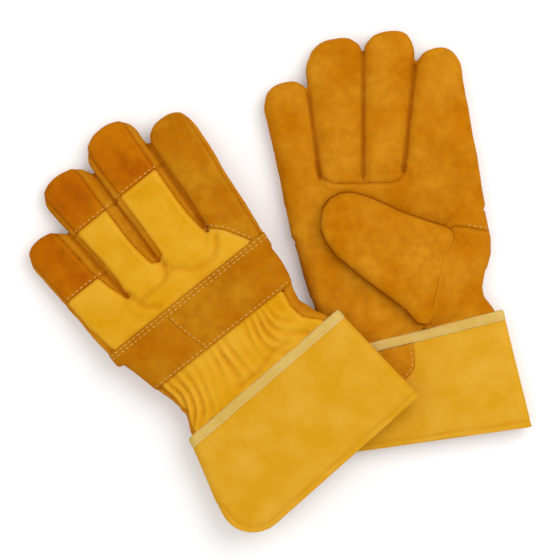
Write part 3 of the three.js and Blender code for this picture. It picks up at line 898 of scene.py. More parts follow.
def gusset_outline(glove, index, left, right):
    """The outline of a fourchette as it shows on one side of the glove."""
    low = glove["crotches"][index]
    edges = []
    for sign, (narrow, wide) in ((1, right), (-1, left)):
        edge = []
        for rise in (*GUSSET_RISES, SLIT_TOP - low):
            share = min(rise / GUSSET_GROWS, 1.0)
            width = narrow + (wide - narrow) * share * (2 - share)
            edge.append((side_at(glove, index + 1, low + rise) + sign * width, low + rise))
        edges.append(edge)
    return [*reversed(edges[0]), (side_at(glove, index + 1, low), low), *edges[1]]


def seam_v(glove, u):
    level, slope = glove["seam"]
    return level + slope * u


# %% [markdown]
# The skin is one surface, but the glove is sewn of panels. Every face of the skin is given the name of the
# panel that it belongs to, by the outline that its middle lies in. Later names paint over earlier ones.

# %% Tell the panels apart
GUSSETS = ("ring_little", "middle_ring", "index_middle")
FINGERS = ("little", "ring", "middle", "index")
GUNN_SIDES = ((3, 182), (1, 192))


def gusset_shapes(glove, side):
    widths = SEAMS[glove["name"]]["gussets"]
    if side != glove["dorsal"]:
        widths = [FRONT_GUSSET] * 3
    return [gusset_outline(glove, index, *widths[index]) for index in range(3)]


def name_back(glove, label, back, u, v):
    """The canvas, the index finger's leather back, and the palm's leather where it shows beside them."""
    seams = SEAMS[glove["name"]]
    far, corner = (OUTSIDE, SLIT_TOP), (OUTSIDE, WING_LEVELS[0])
    slit = (side_at(glove, 3, SLIT_TOP), SLIT_TOP)
    index_back = seams["index_back"]
    canvas = [*little_line(glove), far, corner, *seams["index_edge"]]
    label[back & inside(canvas, u, v)] = "back_canvas"
    label[back & inside([*index_back, corner, far, slit], u, v)] = "palm_leather"
    leather = [*reversed(index_back), slit, *reversed(index_line(glove))]
    label[back & inside(leather, u, v)] = "index_back_leather"


def name_front(glove, label, front, u, v):
    """The fronts of the two middle fingers, and the wing of the thumb."""
    (right, right_start), (left, left_start) = GUNN_SIDES
    up = side_strip(glove, right, 0, right_start)
    down = side_strip(glove, left, 0, left_start)[::-1]
    middle_fronts = front & inside([*SEAMS[glove["name"]]["gunn"], *up, *down], u, v)
    divide = side_at(glove, 2, v)
    label[middle_fronts & (u < divide)] = "ring_front"
    label[middle_fronts & (u >= divide)] = "middle_front"
    wing = [*WING_SEAM, *[(OUTSIDE, level) for level in WING_LEVELS]]
    label[front & inside(wing, u, v)] = "thumb_wing"


def panel_names(glove, u, v, w):
    back = w * glove["dorsal"] > 0
    label = np.full(len(u), "palm_leather", dtype=object)
    name_back(glove, label, back, u, v)
    name_front(glove, label, ~back, u, v)
    for side, mask in ((glove["dorsal"], back), (-glove["dorsal"], ~back)):
        for name, outline in zip(GUSSETS, gusset_shapes(glove, side)):
            label[mask & inside(outline, u, v)] = "fourchette_" + name
    for index, finger in enumerate(FINGERS[:3]):
        own = (u > side_at(glove, index, v)) & (u < side_at(glove, index + 1, v))
        label[(label == "back_canvas") & (v > glove["tip_lines"][index]) & own] = finger + "_tip_patch"
    return label


# %% [markdown]
# The skin of one glove: melted, swollen, open at the wrist, where it is drawn in to the height of the cuff,
# and cut along its seams. Cutting one skin, rather than modelling twenty panels, leaves no gap at a seam.

# %% Make the skin
DRAW_REACH = 13.0


def seam_cuts(glove):
    """Every seam of the glove with the side that it is on."""
    dorsal = glove["dorsal"]
    seams = SEAMS[glove["name"]]
    cuts = [(seams["gunn"], -dorsal), (WING_SEAM, -dorsal)]
    on_back = [
        seams["index_back"],
        little_line(glove),
        seams["index_edge"],
        [seams["index_back"][-1], *index_line(glove)],
        *gusset_shapes(glove, dorsal),
    ]
    for index, level in enumerate(glove["tip_lines"]):
        on_back.append([(side_at(glove, side, level), level) for side in (index, index + 1)])
    return cuts + [(line, dorsal) for line in on_back]


def slit_cuts(glove):
    """The fourchettes' edges on the palm side. They lie deep in the slits, so no seam is sculpted there."""
    return [(outline, -glove["dorsal"]) for outline in gusset_shapes(glove, -glove["dorsal"])]


def draw_in(glove, bm):
    """Brings the wrist down to the cuff's thickness over the reach next to the seam."""
    for vert in bm.verts:
        near = min(max((vert.co.y - seam_v(glove, vert.co.x)) / DRAW_REACH, 0), 1)
        over = abs(vert.co.z) - CUFF_HALF
        if over > 0:
            vert.co.z = math.copysign(CUFF_HALF + over * near * (2 - near), vert.co.z)


def make_skin(glove):
    lofts = [loft(hand_rings(glove)), loft(cross_rings(glove, HEEL_SECTIONS))]
    lofts += [loft(finger_rings(glove, index)) for index in range(4)]
    bm = melted(lofts)
    swell(glove, bm)
    level, slope = glove["seam"]
    cut_through(bm, (0, level, 0), (-slope, 1, 0), clear_inner=True)
    draw_in(glove, bm)
    for line, side in seam_cuts(glove) + slit_cuts(glove):
        cut_seam(bm, line, side)
    bmesh.ops.recalc_face_normals(bm, faces=bm.faces)
    return bm


# %% [markdown]
# No worn cloth is even. Two scales of smooth noise shape the skin all over, and the elastic inside the wrist
# gathers the back into pleats: round ridges with sharp valleys between them, of unequal height, which lean
# more towards the tape. Cloth could be simulated here, but a formula keeps the pleats where the photograph
# has them.

# %% Unevenness and pleats
PLEAT = 6.6
PLEAT_LEAN = 9
PLEAT_WANDER = 8
RIDGE = 3.0
VALLEY = 2.2


def uneven(u, v, w, size, seed):
    """Smooth unevenness between -1 and 1, at one scale."""
    spots = [Vector((a / size, b / size, c / size + seed)) for a, b, c in zip(u, v, w)]
    return np.array([noise.noise(spot) for spot in spots])


def bell(distance, width):
    return np.exp(-((distance / width) ** 2))


def ramp(distance, reach, low=0, high=1):
    """Rises from 0 to 1 over a reach."""
    return np.clip(distance / reach, low, high)


def pleats(u, v, phase):
    """How far each place of the wrist's back stands out, and how deep in a valley it is."""
    drop = ramp(ELASTIC_PLACE + 8 - v, 20, high=1.5)
    lean = PLEAT_LEAN * drop ** 1.5 * np.sin(u / 38 + phase)
    wander = np.array([noise.noise(Vector((a / 26, b / 34, phase))) for a, b in zip(u, v)])
    turn = np.pi * (u + lean + wander * PLEAT_WANDER) / PLEAT
    ridge = 0.6 * np.abs(np.sin(turn)) ** 0.9 + 0.4 * np.sin(turn) ** 2
    each = 0.6 + 0.4 * np.sin(u / 8.0 + 2 * np.sin(u / 21) + phase)
    below_strap = ramp(STRAP_PROXIMAL + 3 - v, 10) ** 0.7
    gathered = 0.5 + 0.5 * bell(v - ELASTIC_PLACE - 5, 9) + 0.4 * ramp(-22 - u, 12)
    strength = each * below_strap * np.clip(gathered, 0, 1) * ramp(v - 64, 8, low=0.4)
    return strength * (RIDGE * ridge - VALLEY), strength * (1 - ridge) ** 1.5


# %% [markdown]
# A sewn seam pulls the surface in, and the leather beside it stands up in a low roll, which is what rubs
# first. The slits between the fingers are deeper still. A place that is sunk gets a crease shade, a painted
# shade that darkens its colour, and one that stands out is rubbed, each from 0 to 1; both are kept for the
# colours.

# %% Seams and slits
SEAM_DEPTH = 0.75
SEAM_WIDTH = 1.2
SEAM_ROLL = 0.35
ROLL_PLACE = 2.6 * SEAM_WIDTH
SEAM_THROUGH = 2.0
SEAM_SHADE = 0.38
SEAM_SHADE_WIDTH = 0.9
SEAM_WEAR = 0.55
WEAR_PLACE = 2.2
WEAR_WIDTH = 1.1
GUSSET_SHADE = 0.22
SLIT_DEPTH = 1.3
SLIT_WIDTH = 0.9
SLIT_NOTCH = 7
SLIT_SHADE = 0.8
SLIT_SHADE_WIDTH = 0.75


def press_seams(glove, u, v, w, move, crease_shade, rub):
    """Sinks each seam on its own side of the glove, except where a strap lies over it."""
    dorsal = glove["dorsal"]
    under_strap = (w * dorsal > 0) & (v > STRAP_PROXIMAL) & (v < STRAP_DISTAL)
    for line, side in seam_cuts(glove):
        share = ramp(w * side + SEAM_THROUGH, 2 * SEAM_THROUGH)
        share[under_strap] = 0
        distance = distance_to(line, u, v)
        roll = SEAM_ROLL * bell(distance - ROLL_PLACE, SEAM_WIDTH) - bell(distance, SEAM_WIDTH)
        move += SEAM_DEPTH * share * roll
        np.maximum(crease_shade, SEAM_SHADE * share * bell(distance, SEAM_SHADE_WIDTH), out=crease_shade)
        np.maximum(rub, SEAM_WEAR * share * bell(distance - WEAR_PLACE, WEAR_WIDTH), out=rub)
    for outline in gusset_shapes(glove, dorsal):
        crease_shade[(w * dorsal > 0) & inside(outline, u, v)] += GUSSET_SHADE


def press_slits(glove, u, v, move, crease_shade):
    """Sinks the slits between the fingers, from each crotch to the notch between two tips."""
    for index, low in enumerate(glove["crotches"]):
        high = min(glove["tips"][index], glove["tips"][index + 1]) - SLIT_NOTCH
        distance = distance_to(side_strip(glove, index + 1, 0, low, high, 5), u, v)
        move -= SLIT_DEPTH * bell(distance, SLIT_WIDTH)
        np.maximum(crease_shade, SLIT_SHADE * bell(distance, SLIT_SHADE_WIDTH), out=crease_shade)


# %% [markdown]
# The back of a worn glove folds where the knuckles bend and where the wrist does. The patch on a fingertip
# is stiff and dents, and the wrist is pleated up to its sides. The folds follow lines seen in the
# photograph, so each is a line in plan, as a seam is.

# %% Folds, dents and pleats of the back
FOLD_DEPTH = 1.0
FOLD_WIDTH = 2.0
FOLD_ROLL = 0.45
FOLD_ROLL_PLACE = 4.5
FOLD_ROLL_WIDTH = 2.5
FOLD_SHADE = 0.45
FOLD_SHADE_WIDTH = 1.5
DENT_DEPTH = 1.1
DENT_WIDTH = 5.5
DENT_STRETCH = 2.4
DENT_PLACE = (1.5, 17)
DENT_SHADE = 0.35
PLEATED_MIDDLE = 2
PLEATED_HALF = 57
PLEATS_FADE = 7
VALLEY_SHADE = 0.5
RIDGE_WEAR = 0.7
MOST_WEAR = 0.8
FOLDS = {
    "left": [
        [(-0.5, 165), (-1.5, 161), (-4, 157.5), (-10, 154.7), (-22, 155), (-29, 153.5)],
        [(2, 158.5), (5.3, 156), (10, 150.5), (19.8, 147), (28, 147.5), (33, 151), (37, 157)],
        [(-31, 163), (-29.5, 157), (-29, 153.5), (-27, 149), (-20, 144)],
        [(-12, 70.5), (-4, 71), (4, 70.5), (12, 73), (20, 75.5), (30, 74)],
        [(32, 79), (38, 75.5), (45, 71)],
    ],
    "right": [[(-20, 168), (-14, 158), (0, 152), (14, 154)], [(30, 160), (26, 150), (12, 144)]],
}


def fold_back(glove, u, v, move, crease_shade, rub):
    """The folds of the knuckles, the dents in the tips' patches and the pleats of the wrist."""
    for line in FOLDS[glove["name"]]:
        distance = distance_to(line, u, v)
        roll = FOLD_ROLL * bell(distance - FOLD_ROLL_PLACE, FOLD_ROLL_WIDTH)
        move += roll - FOLD_DEPTH * bell(distance, FOLD_WIDTH)
        np.maximum(crease_shade, FOLD_SHADE * bell(distance, FOLD_SHADE_WIDTH), out=crease_shade)
    aside, above = DENT_PLACE
    for index, level in enumerate(glove["tip_lines"]):
        middle = (side_at(glove, index, level) + side_at(glove, index + 1, level)) / 2
        dent = bell(np.hypot(u - middle - aside, (v - level - above) / DENT_STRETCH), DENT_WIDTH)
        move -= DENT_DEPTH * dent
        np.maximum(crease_shade, DENT_SHADE * dent, out=crease_shade)
    edge = ramp(PLEATED_HALF - np.abs(u - PLEATED_MIDDLE), PLEATS_FADE)
    low, dark = pleats(u, v, 2.0 + glove["dorsal"])
    move += low * edge
    np.maximum(crease_shade, VALLEY_SHADE * dark * edge, out=crease_shade)
    np.maximum(rub, np.clip(RIDGE_WEAR * low, 0, MOST_WEAR) * edge, out=rub)
    return move, crease_shade, rub


# %% [markdown]
# Everything above comes together in one movement of the skin along its normals. Where the thumb lies on the
# palm, the skin is kept down, and at the wrist it is tucked in towards the cuff. A displace modifier could
# do the same from a texture, but then the seams could not be as sharp as their lines.

# %% Sculpt the skin
BROAD_BUMPS = (24, 0.6)
SMALL_BUMPS = (9, 0.3)
TUCK = 0.5
TUCK_REACH = 4.0
PRESSED_BY_THUMB = -0.3


def heights(glove, u, v, w):
    """How far each place of the skin moves out along its normal, and how creased and how rubbed it is."""
    dorsal = glove["dorsal"]
    broad_size, broad_height = BROAD_BUMPS
    small_size, small_height = SMALL_BUMPS
    broad = uneven(u, v, w, broad_size, 3.1 * dorsal)
    move = broad_height * broad + small_height * uneven(u, v, w, small_size, 11.7)
    # Wherever the skin sinks, its colour is darkened a little: a painted shade.
    crease_shade = np.clip(-0.45 * move, 0, 0.3)
    rub = np.clip(0.5 * broad, 0, 0.4)
    press_seams(glove, u, v, w, move, crease_shade, rub)
    press_slits(glove, u, v, move, crease_shade)
    back = w * dorsal > 0
    folded = fold_back(glove, u[back], v[back], move[back], crease_shade[back], rub[back])
    move[back], crease_shade[back], rub[back] = folded
    move -= TUCK * np.clip(1 - (v - seam_v(glove, u)) / TUCK_REACH, 0, 1)
    upper_ends, lower_ends = list(zip(*THUMB_SECTIONS))[:2]
    under_thumb = ~back & inside([*upper_ends, *reversed(lower_ends)], u, v)
    move[under_thumb] = np.minimum(move[under_thumb], PRESSED_BY_THUMB)
    return move, crease_shade, rub


def sculpt(bm, move, crease_shade, rub=None):
    """Moves every vertex along its normal and keeps its painted crease shade and how rubbed it is, for the
    colours.
    """
    crease_shade_layer = bm.verts.layers.float.new("crease_shade")
    rubbed = bm.verts.layers.float.new("rub")
    bm.normal_update()
    if rub is None:
        rub = np.zeros(len(move))
    for vert, step, depth, wear in zip(bm.verts, move, crease_shade, rub):
        vert.co += vert.normal * float(step)
        vert[crease_shade_layer] = float(depth)
        vert[rubbed] = float(wear)


def places(bm):
    """The plan places and levels of all vertices."""
    return np.array([vert.co for vert in bm.verts]).T


def face_places(bm):
    return np.array([face.calc_center_median() for face in bm.faces]).T


# %% [markdown]
# A strap, a patch, a tape or a lining is a layer over another piece: the faces of that piece inside an
# outline, lifted along their normals and given a thickness of their own. Its border is pressed down. A
# separate sheet could be shrink-wrapped on, but a copy of the faces below fits without a gap.

# %% Lay a layer over a piece
BORDER_RUB = 0.7
STEEP = 1.6


def layer_over(host, chosen, lift, thickness, border=2.0, fall=0.5):
    """A copy of the host's chosen faces, lifted; the solidified wall is then added by finished()."""
    bm = kept(host, chosen)
    nearest = tree_of([vert.co.copy() for vert in bm.verts if vert.is_boundary])
    rubbed = bm.verts.layers.float.get("rub")
    bm.normal_update()
    gaps = [nearest.find(vert.co)[2] for vert in bm.verts]
    for vert, gap in zip(bm.verts, gaps):
        closeness = max(0.0, 1 - gap / border)
        upright = min(1.0, abs(vert.normal.z) * STEEP) if thickness else 1.0
        vert.co += vert.normal * (lift + thickness * upright - fall * closeness ** 2)
        vert[rubbed] = max(vert[rubbed], BORDER_RUB * closeness ** 2)
    return bm


# %% [markdown]
# The cuff is a flat open tube of stiff canvas. Its rings run from below the mouth to the seam with the hand.
# The mouth is then cut with bisect_plane, along its slanting edge and in short straight cuts round the
# corner. It could be one skin with the hand, but then it would melt softly into it instead of being sewn on.

# %% Make the cuff
CUFF_RINGS = 26
CUFF_SIDES = 160
CUFF_GROWTH = 1.2
CUFF_SQUARENESS = 0.6
SEAM_OVERLAP = 0.6
BELOW_MOUTH = 7
CUFF_SINK = 0.35
CUFF_BROAD = (34, 0.35)
CUFF_SMALL = (11, 0.1)
HEM = 4.0
HEM_WIDTH = 0.9
HEM_DEPTH = 0.45
HEM_SHADE = 0.5
CORNER_CUTS = 9
BEYOND_CUFF = 110


def mouth_line(glove):
    """The edge of the mouth: round the corner at the little finger's side, then straight across."""
    level, slope = glove["mouth"]
    radius = glove["mouth_corner"]
    (top_u, top_v), (side_u, side_v) = glove["cuff"][:2]
    edge_out = Vector((slope, -1)).normalized()
    side_out = Vector((side_v - top_v, top_u - side_u)).normalized()
    reach = (edge_out.y * level - radius, side_out.x * side_u + side_out.y * side_v - radius)
    centre = Vector(np.linalg.solve(np.array([edge_out, side_out]), np.array(reach)))
    turn = side_out.angle_signed(edge_out)
    arc = []
    for step in range(CORNER_CUTS + 1):
        out = side_out.copy()
        out.rotate(Matrix.Rotation(-turn * step / CORNER_CUTS, 2))
        arc.append(tuple(centre + radius * out))
    return [*arc, (BEYOND_CUFF, level + slope * BEYOND_CUFF)]


def cuff_side(glove, ends, level):
    (near_u, near_v), (far_u, far_v) = (glove["cuff"][end] for end in ends)
    return near_u + (far_u - near_u) * (level - near_v) / (far_v - near_v)


def cuff_sections(glove):
    """For each ring its share of the way from below the mouth to the seam, its middle and half-width."""
    low = glove["mouth"][0] - BELOW_MOUTH
    sections = []
    for step in range(CUFF_RINGS + 1):
        share = step / CUFF_RINGS
        level = low + (glove["seam"][0] - low) * share
        left = cuff_side(glove, (1, 0), level)
        right = cuff_side(glove, (2, 3), level)
        sections.append((glove, low, share, (left + right) / 2, (right - left) / 2 + CUFF_GROWTH))
    return sections


def on_cuff(section, x, y):
    glove, low, share, middle, half = section
    angle = math.atan2(y, x)
    across = math.copysign(abs(math.cos(angle)) ** CUFF_SQUARENESS, math.cos(angle))
    u = middle + half * across
    from_side = half * (1 - abs(across))
    depth = math.sqrt(max(1 - max(1 - from_side / CUFF_ROUND, 0) ** 2, 0))
    v = low * (1 - share) + (seam_v(glove, u) + SEAM_OVERLAP) * share
    return Vector((u, v, math.copysign(CUFF_HALF * depth, math.sin(angle))))


def make_cuff(glove):
    bm = tube(CUFF_SIDES, cuff_sections(glove), on_cuff)
    bmesh.ops.recalc_face_normals(bm, faces=bm.faces)
    first = bm.faces[:][0]
    outward = first.calc_center_median() - Vector((0, first.calc_center_median().y, 0))
    if first.normal.dot(outward) < 0:
        bmesh.ops.reverse_faces(bm, faces=bm.faces)
    line = mouth_line(glove)
    for (start_u, start_v), (end_u, end_v) in zip(line, line[1:]):
        outside = Vector((end_v - start_v, start_u - end_u, 0)).normalized()
        cut_through(bm, (start_u, start_v, 0), outside, snap=SNAP / 2, clear_outer=True)
    return bm


def cuff_heights(glove, u, v, w):
    """The cuff only sinks inwards, so that it stays clear of what lies on it."""
    broad, height = CUFF_BROAD
    small, small_height = CUFF_SMALL
    move = -CUFF_SINK - height * uneven(u, v, w, broad, 5.0) - small_height * uneven(u, v, w, small, 9.0)
    hem = bell(distance_to(mouth_line(glove), u, v) - HEM, HEM_WIDTH)
    return move - HEM_DEPTH * hem, HEM_SHADE * hem


# %% [markdown]
# Both gloves are now put together. Each piece says which body it rides on, which CAD nodes it stands for
# and which finish it takes; a panel that runs from the hand into the fingers rides on none and stays where
# it is placed. The CAD solids themselves could be kept and rounded, but they are flat, and a worn glove is
# full.

# %% Add the panels
MATERIALS = {
    "split_leather": SPLIT_LEATHER,
    "patch_leather": PATCH_LEATHER,
    "back_canvas": BACK_CANVAS,
    "cuff_canvas": CUFF_CANVAS,
    "seam_tape": SEAM_TAPE,
    "cotton_lining": COTTON,
    "elastic": ELASTIC,
}
BACK_PIECES = ("knuckle_strap", "index_back")
PANELS = {
    "palm_leather": ("split_leather", "bend", ("palm_leather", "index_front", "little_front")),
    "thumb_wing": ("split_leather", "hand", ("thumb_wing",)),
    "ring_front": ("split_leather", "bend", ("ring_front",)),
    "middle_front": ("split_leather", "bend", ("middle_front",)),
    "back_canvas": (
        "back_canvas", "bend",
        ("back_canvas", "little_back_canvas", "ring_back_canvas", "middle_back_canvas"),
    ),
    "index_back_leather": ("split_leather", "bend", ("index_back_root", "index_back_leather")),
    "fourchette_ring_little": ("split_leather", "bend", ("fourchette_ring_little",)),
    "fourchette_middle_ring": ("split_leather", "bend", ("fourchette_middle_ring",)),
    "fourchette_index_middle": ("split_leather", "bend", ("fourchette_index_middle",)),
    "little_tip_patch": ("patch_leather", "fingers", ("little_tip_patch",)),
    "ring_tip_patch": ("patch_leather", "fingers", ("ring_tip_patch",)),
    "middle_tip_patch": ("patch_leather", "fingers", ("middle_tip_patch",)),
}


def move_with(piece, glove, moves):
    """Ties a piece to the hand, the fingers or the thumb; a piece that runs from the hand into the fingers
    is tied to none.
    """
    hand, fingers, thumb = (f"{glove['name']}_{body}" for body in ("hand", "fingers", "thumb"))
    if moves == "bend":
        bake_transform(piece)
    else:
        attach(piece, {"hand": hand, "fingers": fingers, "thumb": thumb}[moves])


def add_piece(glove, name, bm, slot, thickness, moves="hand", nodes=None, droops=True):
    material = BACK_LEATHER if name.startswith(BACK_PIECES) else MATERIALS[slot]
    piece = finished(bm, glove, name, material, thickness, droops)
    move_with(piece, glove, moves)
    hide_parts(*(f"{glove['name']}_{node}" for node in (nodes or (name,))))
    return piece


def add_panels(glove, skin, label):
    for name, (slot, moves, nodes) in PANELS.items():
        cloth = CANVAS if slot == "back_canvas" else LEATHER
        add_piece(glove, name, kept(skin, label == name), slot, cloth, moves, nodes)


# %% [markdown]
# Three layers go on the hand. The knuckle strap is sewn of two pieces of leather, laid over a copy of the
# skin that is cut along the strap's edges and its join. The lining and the elastic lie inside, so they sink
# under the skin. The lining stops short of the thumb's heel, where the wing is sewn in.

# %% Straps, lining and elastic
JOIN = [(-20, 145), (-20, 131), (-17, 116.5), (-12, 98)]
JOIN_CORNERS = [(OUTSIDE, 98), (OUTSIDE, 145)]
STRAP_END = 1.0
LAYER_GAP = 0.3
HEEL_CLEARANCE = 9.0
HEEL_CORNERS = [(OUTSIDE, 135), (OUTSIDE, 40)]
LINING_CLOTH = 0.8
LINING_START = 78
LINING_STOP = 10
INNER_EDGE = 1.5
ELASTIC_CLOTH = 1.0
ELASTIC_HALF = 3


def add_straps(glove, skin):
    """Adds both pieces of the strap and returns their surface, for the stitches."""
    dorsal = glove["dorsal"]
    host = skin.copy()
    edges = [[(-OUTSIDE, level), (OUTSIDE, level)] for level in (STRAP_PROXIMAL, STRAP_DISTAL)]
    for line in (*edges, JOIN):
        cut_seam(host, line, dorsal)
    cut_through(host, (0, 0, STRAP_END * dorsal), (0, 0, 1))
    u, v, w = face_places(host)
    strap = (w * dorsal > STRAP_END) & (v > STRAP_PROXIMAL) & (v < STRAP_DISTAL)
    index_side = inside([*JOIN, *JOIN_CORNERS], u, v)
    surface = bmesh.new()
    for name, chosen in (("little_side", strap & ~index_side), ("index_side", strap & index_side)):
        bm = layer_over(host, chosen, LAYER_GAP, LEATHER)
        mesh = bpy.data.meshes.new("strap_surface")
        bm.to_mesh(mesh)
        surface.from_mesh(mesh)
        add_piece(glove, "knuckle_strap_" + name, bm, "split_leather", LEATHER)
    return BVHTree.FromBMesh(surface)


def add_inner_layers(glove, skin):
    u, v, w = face_places(skin)
    w *= glove["dorsal"]
    heel = inside([*shifted(WING_SEAM, HEEL_CLEARANCE), *HEEL_CORNERS], u, v)
    along = (v > LINING_START) & (v < glove["fold"] - LINING_STOP)
    lining = layer_over(skin, (w < -INNER_EDGE) & along & ~heel, -LEATHER - LAYER_GAP, 0)
    add_piece(glove, "palm_lining", lining, "cotton_lining", LINING_CLOTH)
    band = (w > INNER_EDGE) & (np.abs(v - ELASTIC_PLACE) < ELASTIC_HALF)
    elastic = layer_over(skin, band, -CANVAS - LAYER_GAP, 0)
    add_piece(glove, "wrist_elastic", elastic, "elastic", ELASTIC_CLOTH)


# %% [markdown]
# The tape is bound round the seam of the cuff, and on the palm side a tongue of leather hangs from it over
# the veins of the wrist. Both are layers over the cuff's canvas.

# %% Cuff, tape and vein patch
TONGUE_STEPS = 8
TONGUE_TOP = 90
TAPE_GAP = 0.2
TAPE_CLOTH = 0.7
TAPE_BORDER = 1.6
PATCH_BORDER = 1.5


def tongue_line(glove, inset):
    """The outline of the patch over the veins of the wrist, moved in by an inset."""
    half = VEIN_HALF - inset
    low = seam_v(glove, VEIN_CENTRE) - VEIN_LENGTH + VEIN_HALF
    arc = []
    for step in range(TONGUE_STEPS + 1):
        angle = math.pi * step / TONGUE_STEPS
        arc.append((VEIN_CENTRE - half * math.cos(angle), low - half * math.sin(angle)))
    return [(VEIN_CENTRE - half, TONGUE_TOP), *arc, (VEIN_CENTRE + half, TONGUE_TOP)]


def add_cuff(glove):
    """Adds the cuff, its tape and its patch and returns the last two's surfaces, for the stitches."""
    dorsal = glove["dorsal"]
    host = make_cuff(glove)
    tongue = tongue_line(glove, 0)
    bmesh.ops.subdivide_edges(host, edges=host.edges, cuts=1, use_grid_fill=True)
    for side in (1, -1):
        cut_seam(host, [(u, seam_v(glove, u) - TAPE_WIDTH) for u in (-OUTSIDE, OUTSIDE)], side)
    cut_seam(host, tongue, -dorsal)
    sculpt(host, *cuff_heights(glove, *places(host)))
    u, v, w = face_places(host)
    taped = v > seam_v(glove, u) - TAPE_WIDTH
    tape = layer_over(host, taped, TAPE_GAP, TAPE_CLOTH, border=TAPE_BORDER)
    tape_surface = BVHTree.FromBMesh(tape)
    add_piece(glove, "cuff_seam_tape", tape, "seam_tape", TAPE_CLOTH, droops=False)
    patched = (w * dorsal < 0) & inside(tongue, u, v) & ~taped
    patch = layer_over(host, patched, LAYER_GAP, LEATHER, border=PATCH_BORDER)
    patch_surface = BVHTree.FromBMesh(patch)
    add_piece(glove, "vein_patch", patch, "split_leather", LEATHER, droops=False)
    add_piece(glove, "cuff", host, "cuff_canvas", CUFF_CLOTH, droops=False)
    return tape_surface, patch_surface


# %% [markdown]
# The free thumb is a loft of its own, because it lies on top of the palm and moves by itself. It is sewn of
# an outer and an inner panel, and the seam between them runs all the way round its edge.

# %% The thumb
THUMB_SEAM_WIDTH = 1.2
THUMB_SEAM_DEPTH = 0.8
THUMB_BUMPS = (22, 0.45)


def add_thumb(glove):
    palm = -glove["dorsal"]
    bm = melted([loft(cross_rings(glove, THUMB_SECTIONS))])
    level = HAND_HALF + LAYER_GAP + glove["thumb_thickness"] / 2
    cut_through(bm, (0, 0, level * palm), (0, 0, 1))
    u, v, w = places(bm)
    seam = bell(w * palm - level, THUMB_SEAM_WIDTH)
    size, height = THUMB_BUMPS
    # The seam round the thumb is darkened where it sinks: a painted shade.
    sculpt(bm, height * uneven(u, v, w, size, 8.0) - THUMB_SEAM_DEPTH * seam, seam)
    w = face_places(bm)[2]
    for name, chosen in (("thumb_outer", w * palm > level), ("thumb_inner", w * palm <= level)):
        add_piece(glove, name, kept(bm, chosen), "split_leather", LEATHER, "thumb", droops=False)
    bm.free()


# %% [markdown]
# Thread shows where pieces are laid on top of one another: short dashes at an even pitch, pulled a little
# into the leather. Each stitch is a small stretched ball of 24 faces. A ray cast down on the surface that
# it is sewn through gives its place, so the rows follow every roll of the leather. Dashes in the colour
# alone would lie flat in a low light.

# %% Sew the visible rows
STITCH = 2.5
PITCH = 3.7
THREAD_HALF = 0.3
THREAD_LIFT = 0.08
STITCH_FACES = 24
RAY_START = 40
STEEPEST = 0.25
SIDE_MARGIN = 3
STRAP_ROWS = (STRAP_DISTAL - 1.7, STRAP_DISTAL - 4.0, STRAP_PROXIMAL + 1.8)
JOIN_ROW = [(-18.2, 134), (-18.2, 131), (-15.2, 116.5), (-11.8, 106)]
TONGUE_INSET = 1.8
TAPE_INSET = 1.5
WING_OFFSET = 1.6
INDEX_OFFSETS = (1.7, -1.6)
TIP_OFFSET = 1.6


def sewn_places(line):
    """Places at an even pitch along a line, each with the direction of the line there."""
    found = []
    ahead = PITCH / 2
    for start, end in zip(line, line[1:]):
        start, end = Vector(start), Vector(end)
        length = (end - start).length
        along = (end - start) / length
        while ahead < length:
            found.append((start + along * ahead, along))
            ahead += PITCH
        ahead -= length
    return found


def stitch_matrix(hit, normal, along):
    """Places a ball as a stitch: stretched along its row and laid flat on the surface."""
    ahead = Vector((along.x, along.y, 0))
    ahead -= normal * ahead.dot(normal)
    shape = Matrix.Diagonal((THREAD_HALF, THREAD_HALF, STITCH / 2, 1))
    turn = ahead.to_track_quat("Z", "Y").to_matrix().to_4x4()
    return Matrix.Translation(hit + normal * THREAD_LIFT) @ turn @ shape


def add_stitches(glove, name, rows, moves):
    """rows: a line in plan, the side of the glove that it is on and the surface that it is sewn through."""
    bm = bmesh.new()
    for line, side, surface in rows:
        for place, along in sewn_places(line):
            above = Vector((*place, RAY_START * side))
            hit, normal, _, _ = surface.ray_cast(above, Vector((0, 0, -side)))
            if hit is None or abs(normal.z) < STEEPEST:
                continue
            matrix = stitch_matrix(hit, normal, along)
            bmesh.ops.create_uvsphere(bm, u_segments=6, v_segments=4, radius=1, matrix=matrix)
    print(glove["name"], name, len(bm.faces) // STITCH_FACES, "stitches")
    piece = finished(bm, glove, name, THREAD)
    move_with(piece, glove, moves)


def sew(glove, skin_surface, strap_surface, tape_surface, patch_surface):
    dorsal = glove["dorsal"]
    rows = [([(-66, level), (70, level)], dorsal, strap_surface) for level in STRAP_ROWS]
    rows.append((JOIN_ROW, dorsal, strap_surface))
    rows.append((tongue_line(glove, TONGUE_INSET), -dorsal, patch_surface))
    for side in (dorsal, -dorsal):
        ends = [(u, seam_v(glove, u) - TAPE_WIDTH + TAPE_INSET) for u in (-70, 80)]
        rows.append((ends, side, tape_surface))
    rows.append((shifted(WING_SEAM[7:], WING_OFFSET), -dorsal, skin_surface))
    add_stitches(glove, "hand_stitching", rows, "hand")
    index_back = SEAMS[glove["name"]]["index_back"][1:]
    rows = [(shifted(index_back, offset), dorsal, skin_surface) for offset in INDEX_OFFSETS]
    add_stitches(glove, "index_seam_stitching", rows, "bend")
    rows = []
    for index, level in enumerate(glove["tip_lines"]):
        left = side_at(glove, index, level) + SIDE_MARGIN
        right = side_at(glove, index + 1, level) - SIDE_MARGIN
        rows.append(([(left, level + TIP_OFFSET), (right, level + TIP_OFFSET)], dorsal, skin_surface))
    add_stitches(glove, "fingertip_stitching", rows, "fingers")


# %% [markdown]
# Both gloves go the same way: the skin is made and told apart, sculpted, and cut up into its panels, and
# the layers, the cuff, the stitches and the thumb follow.

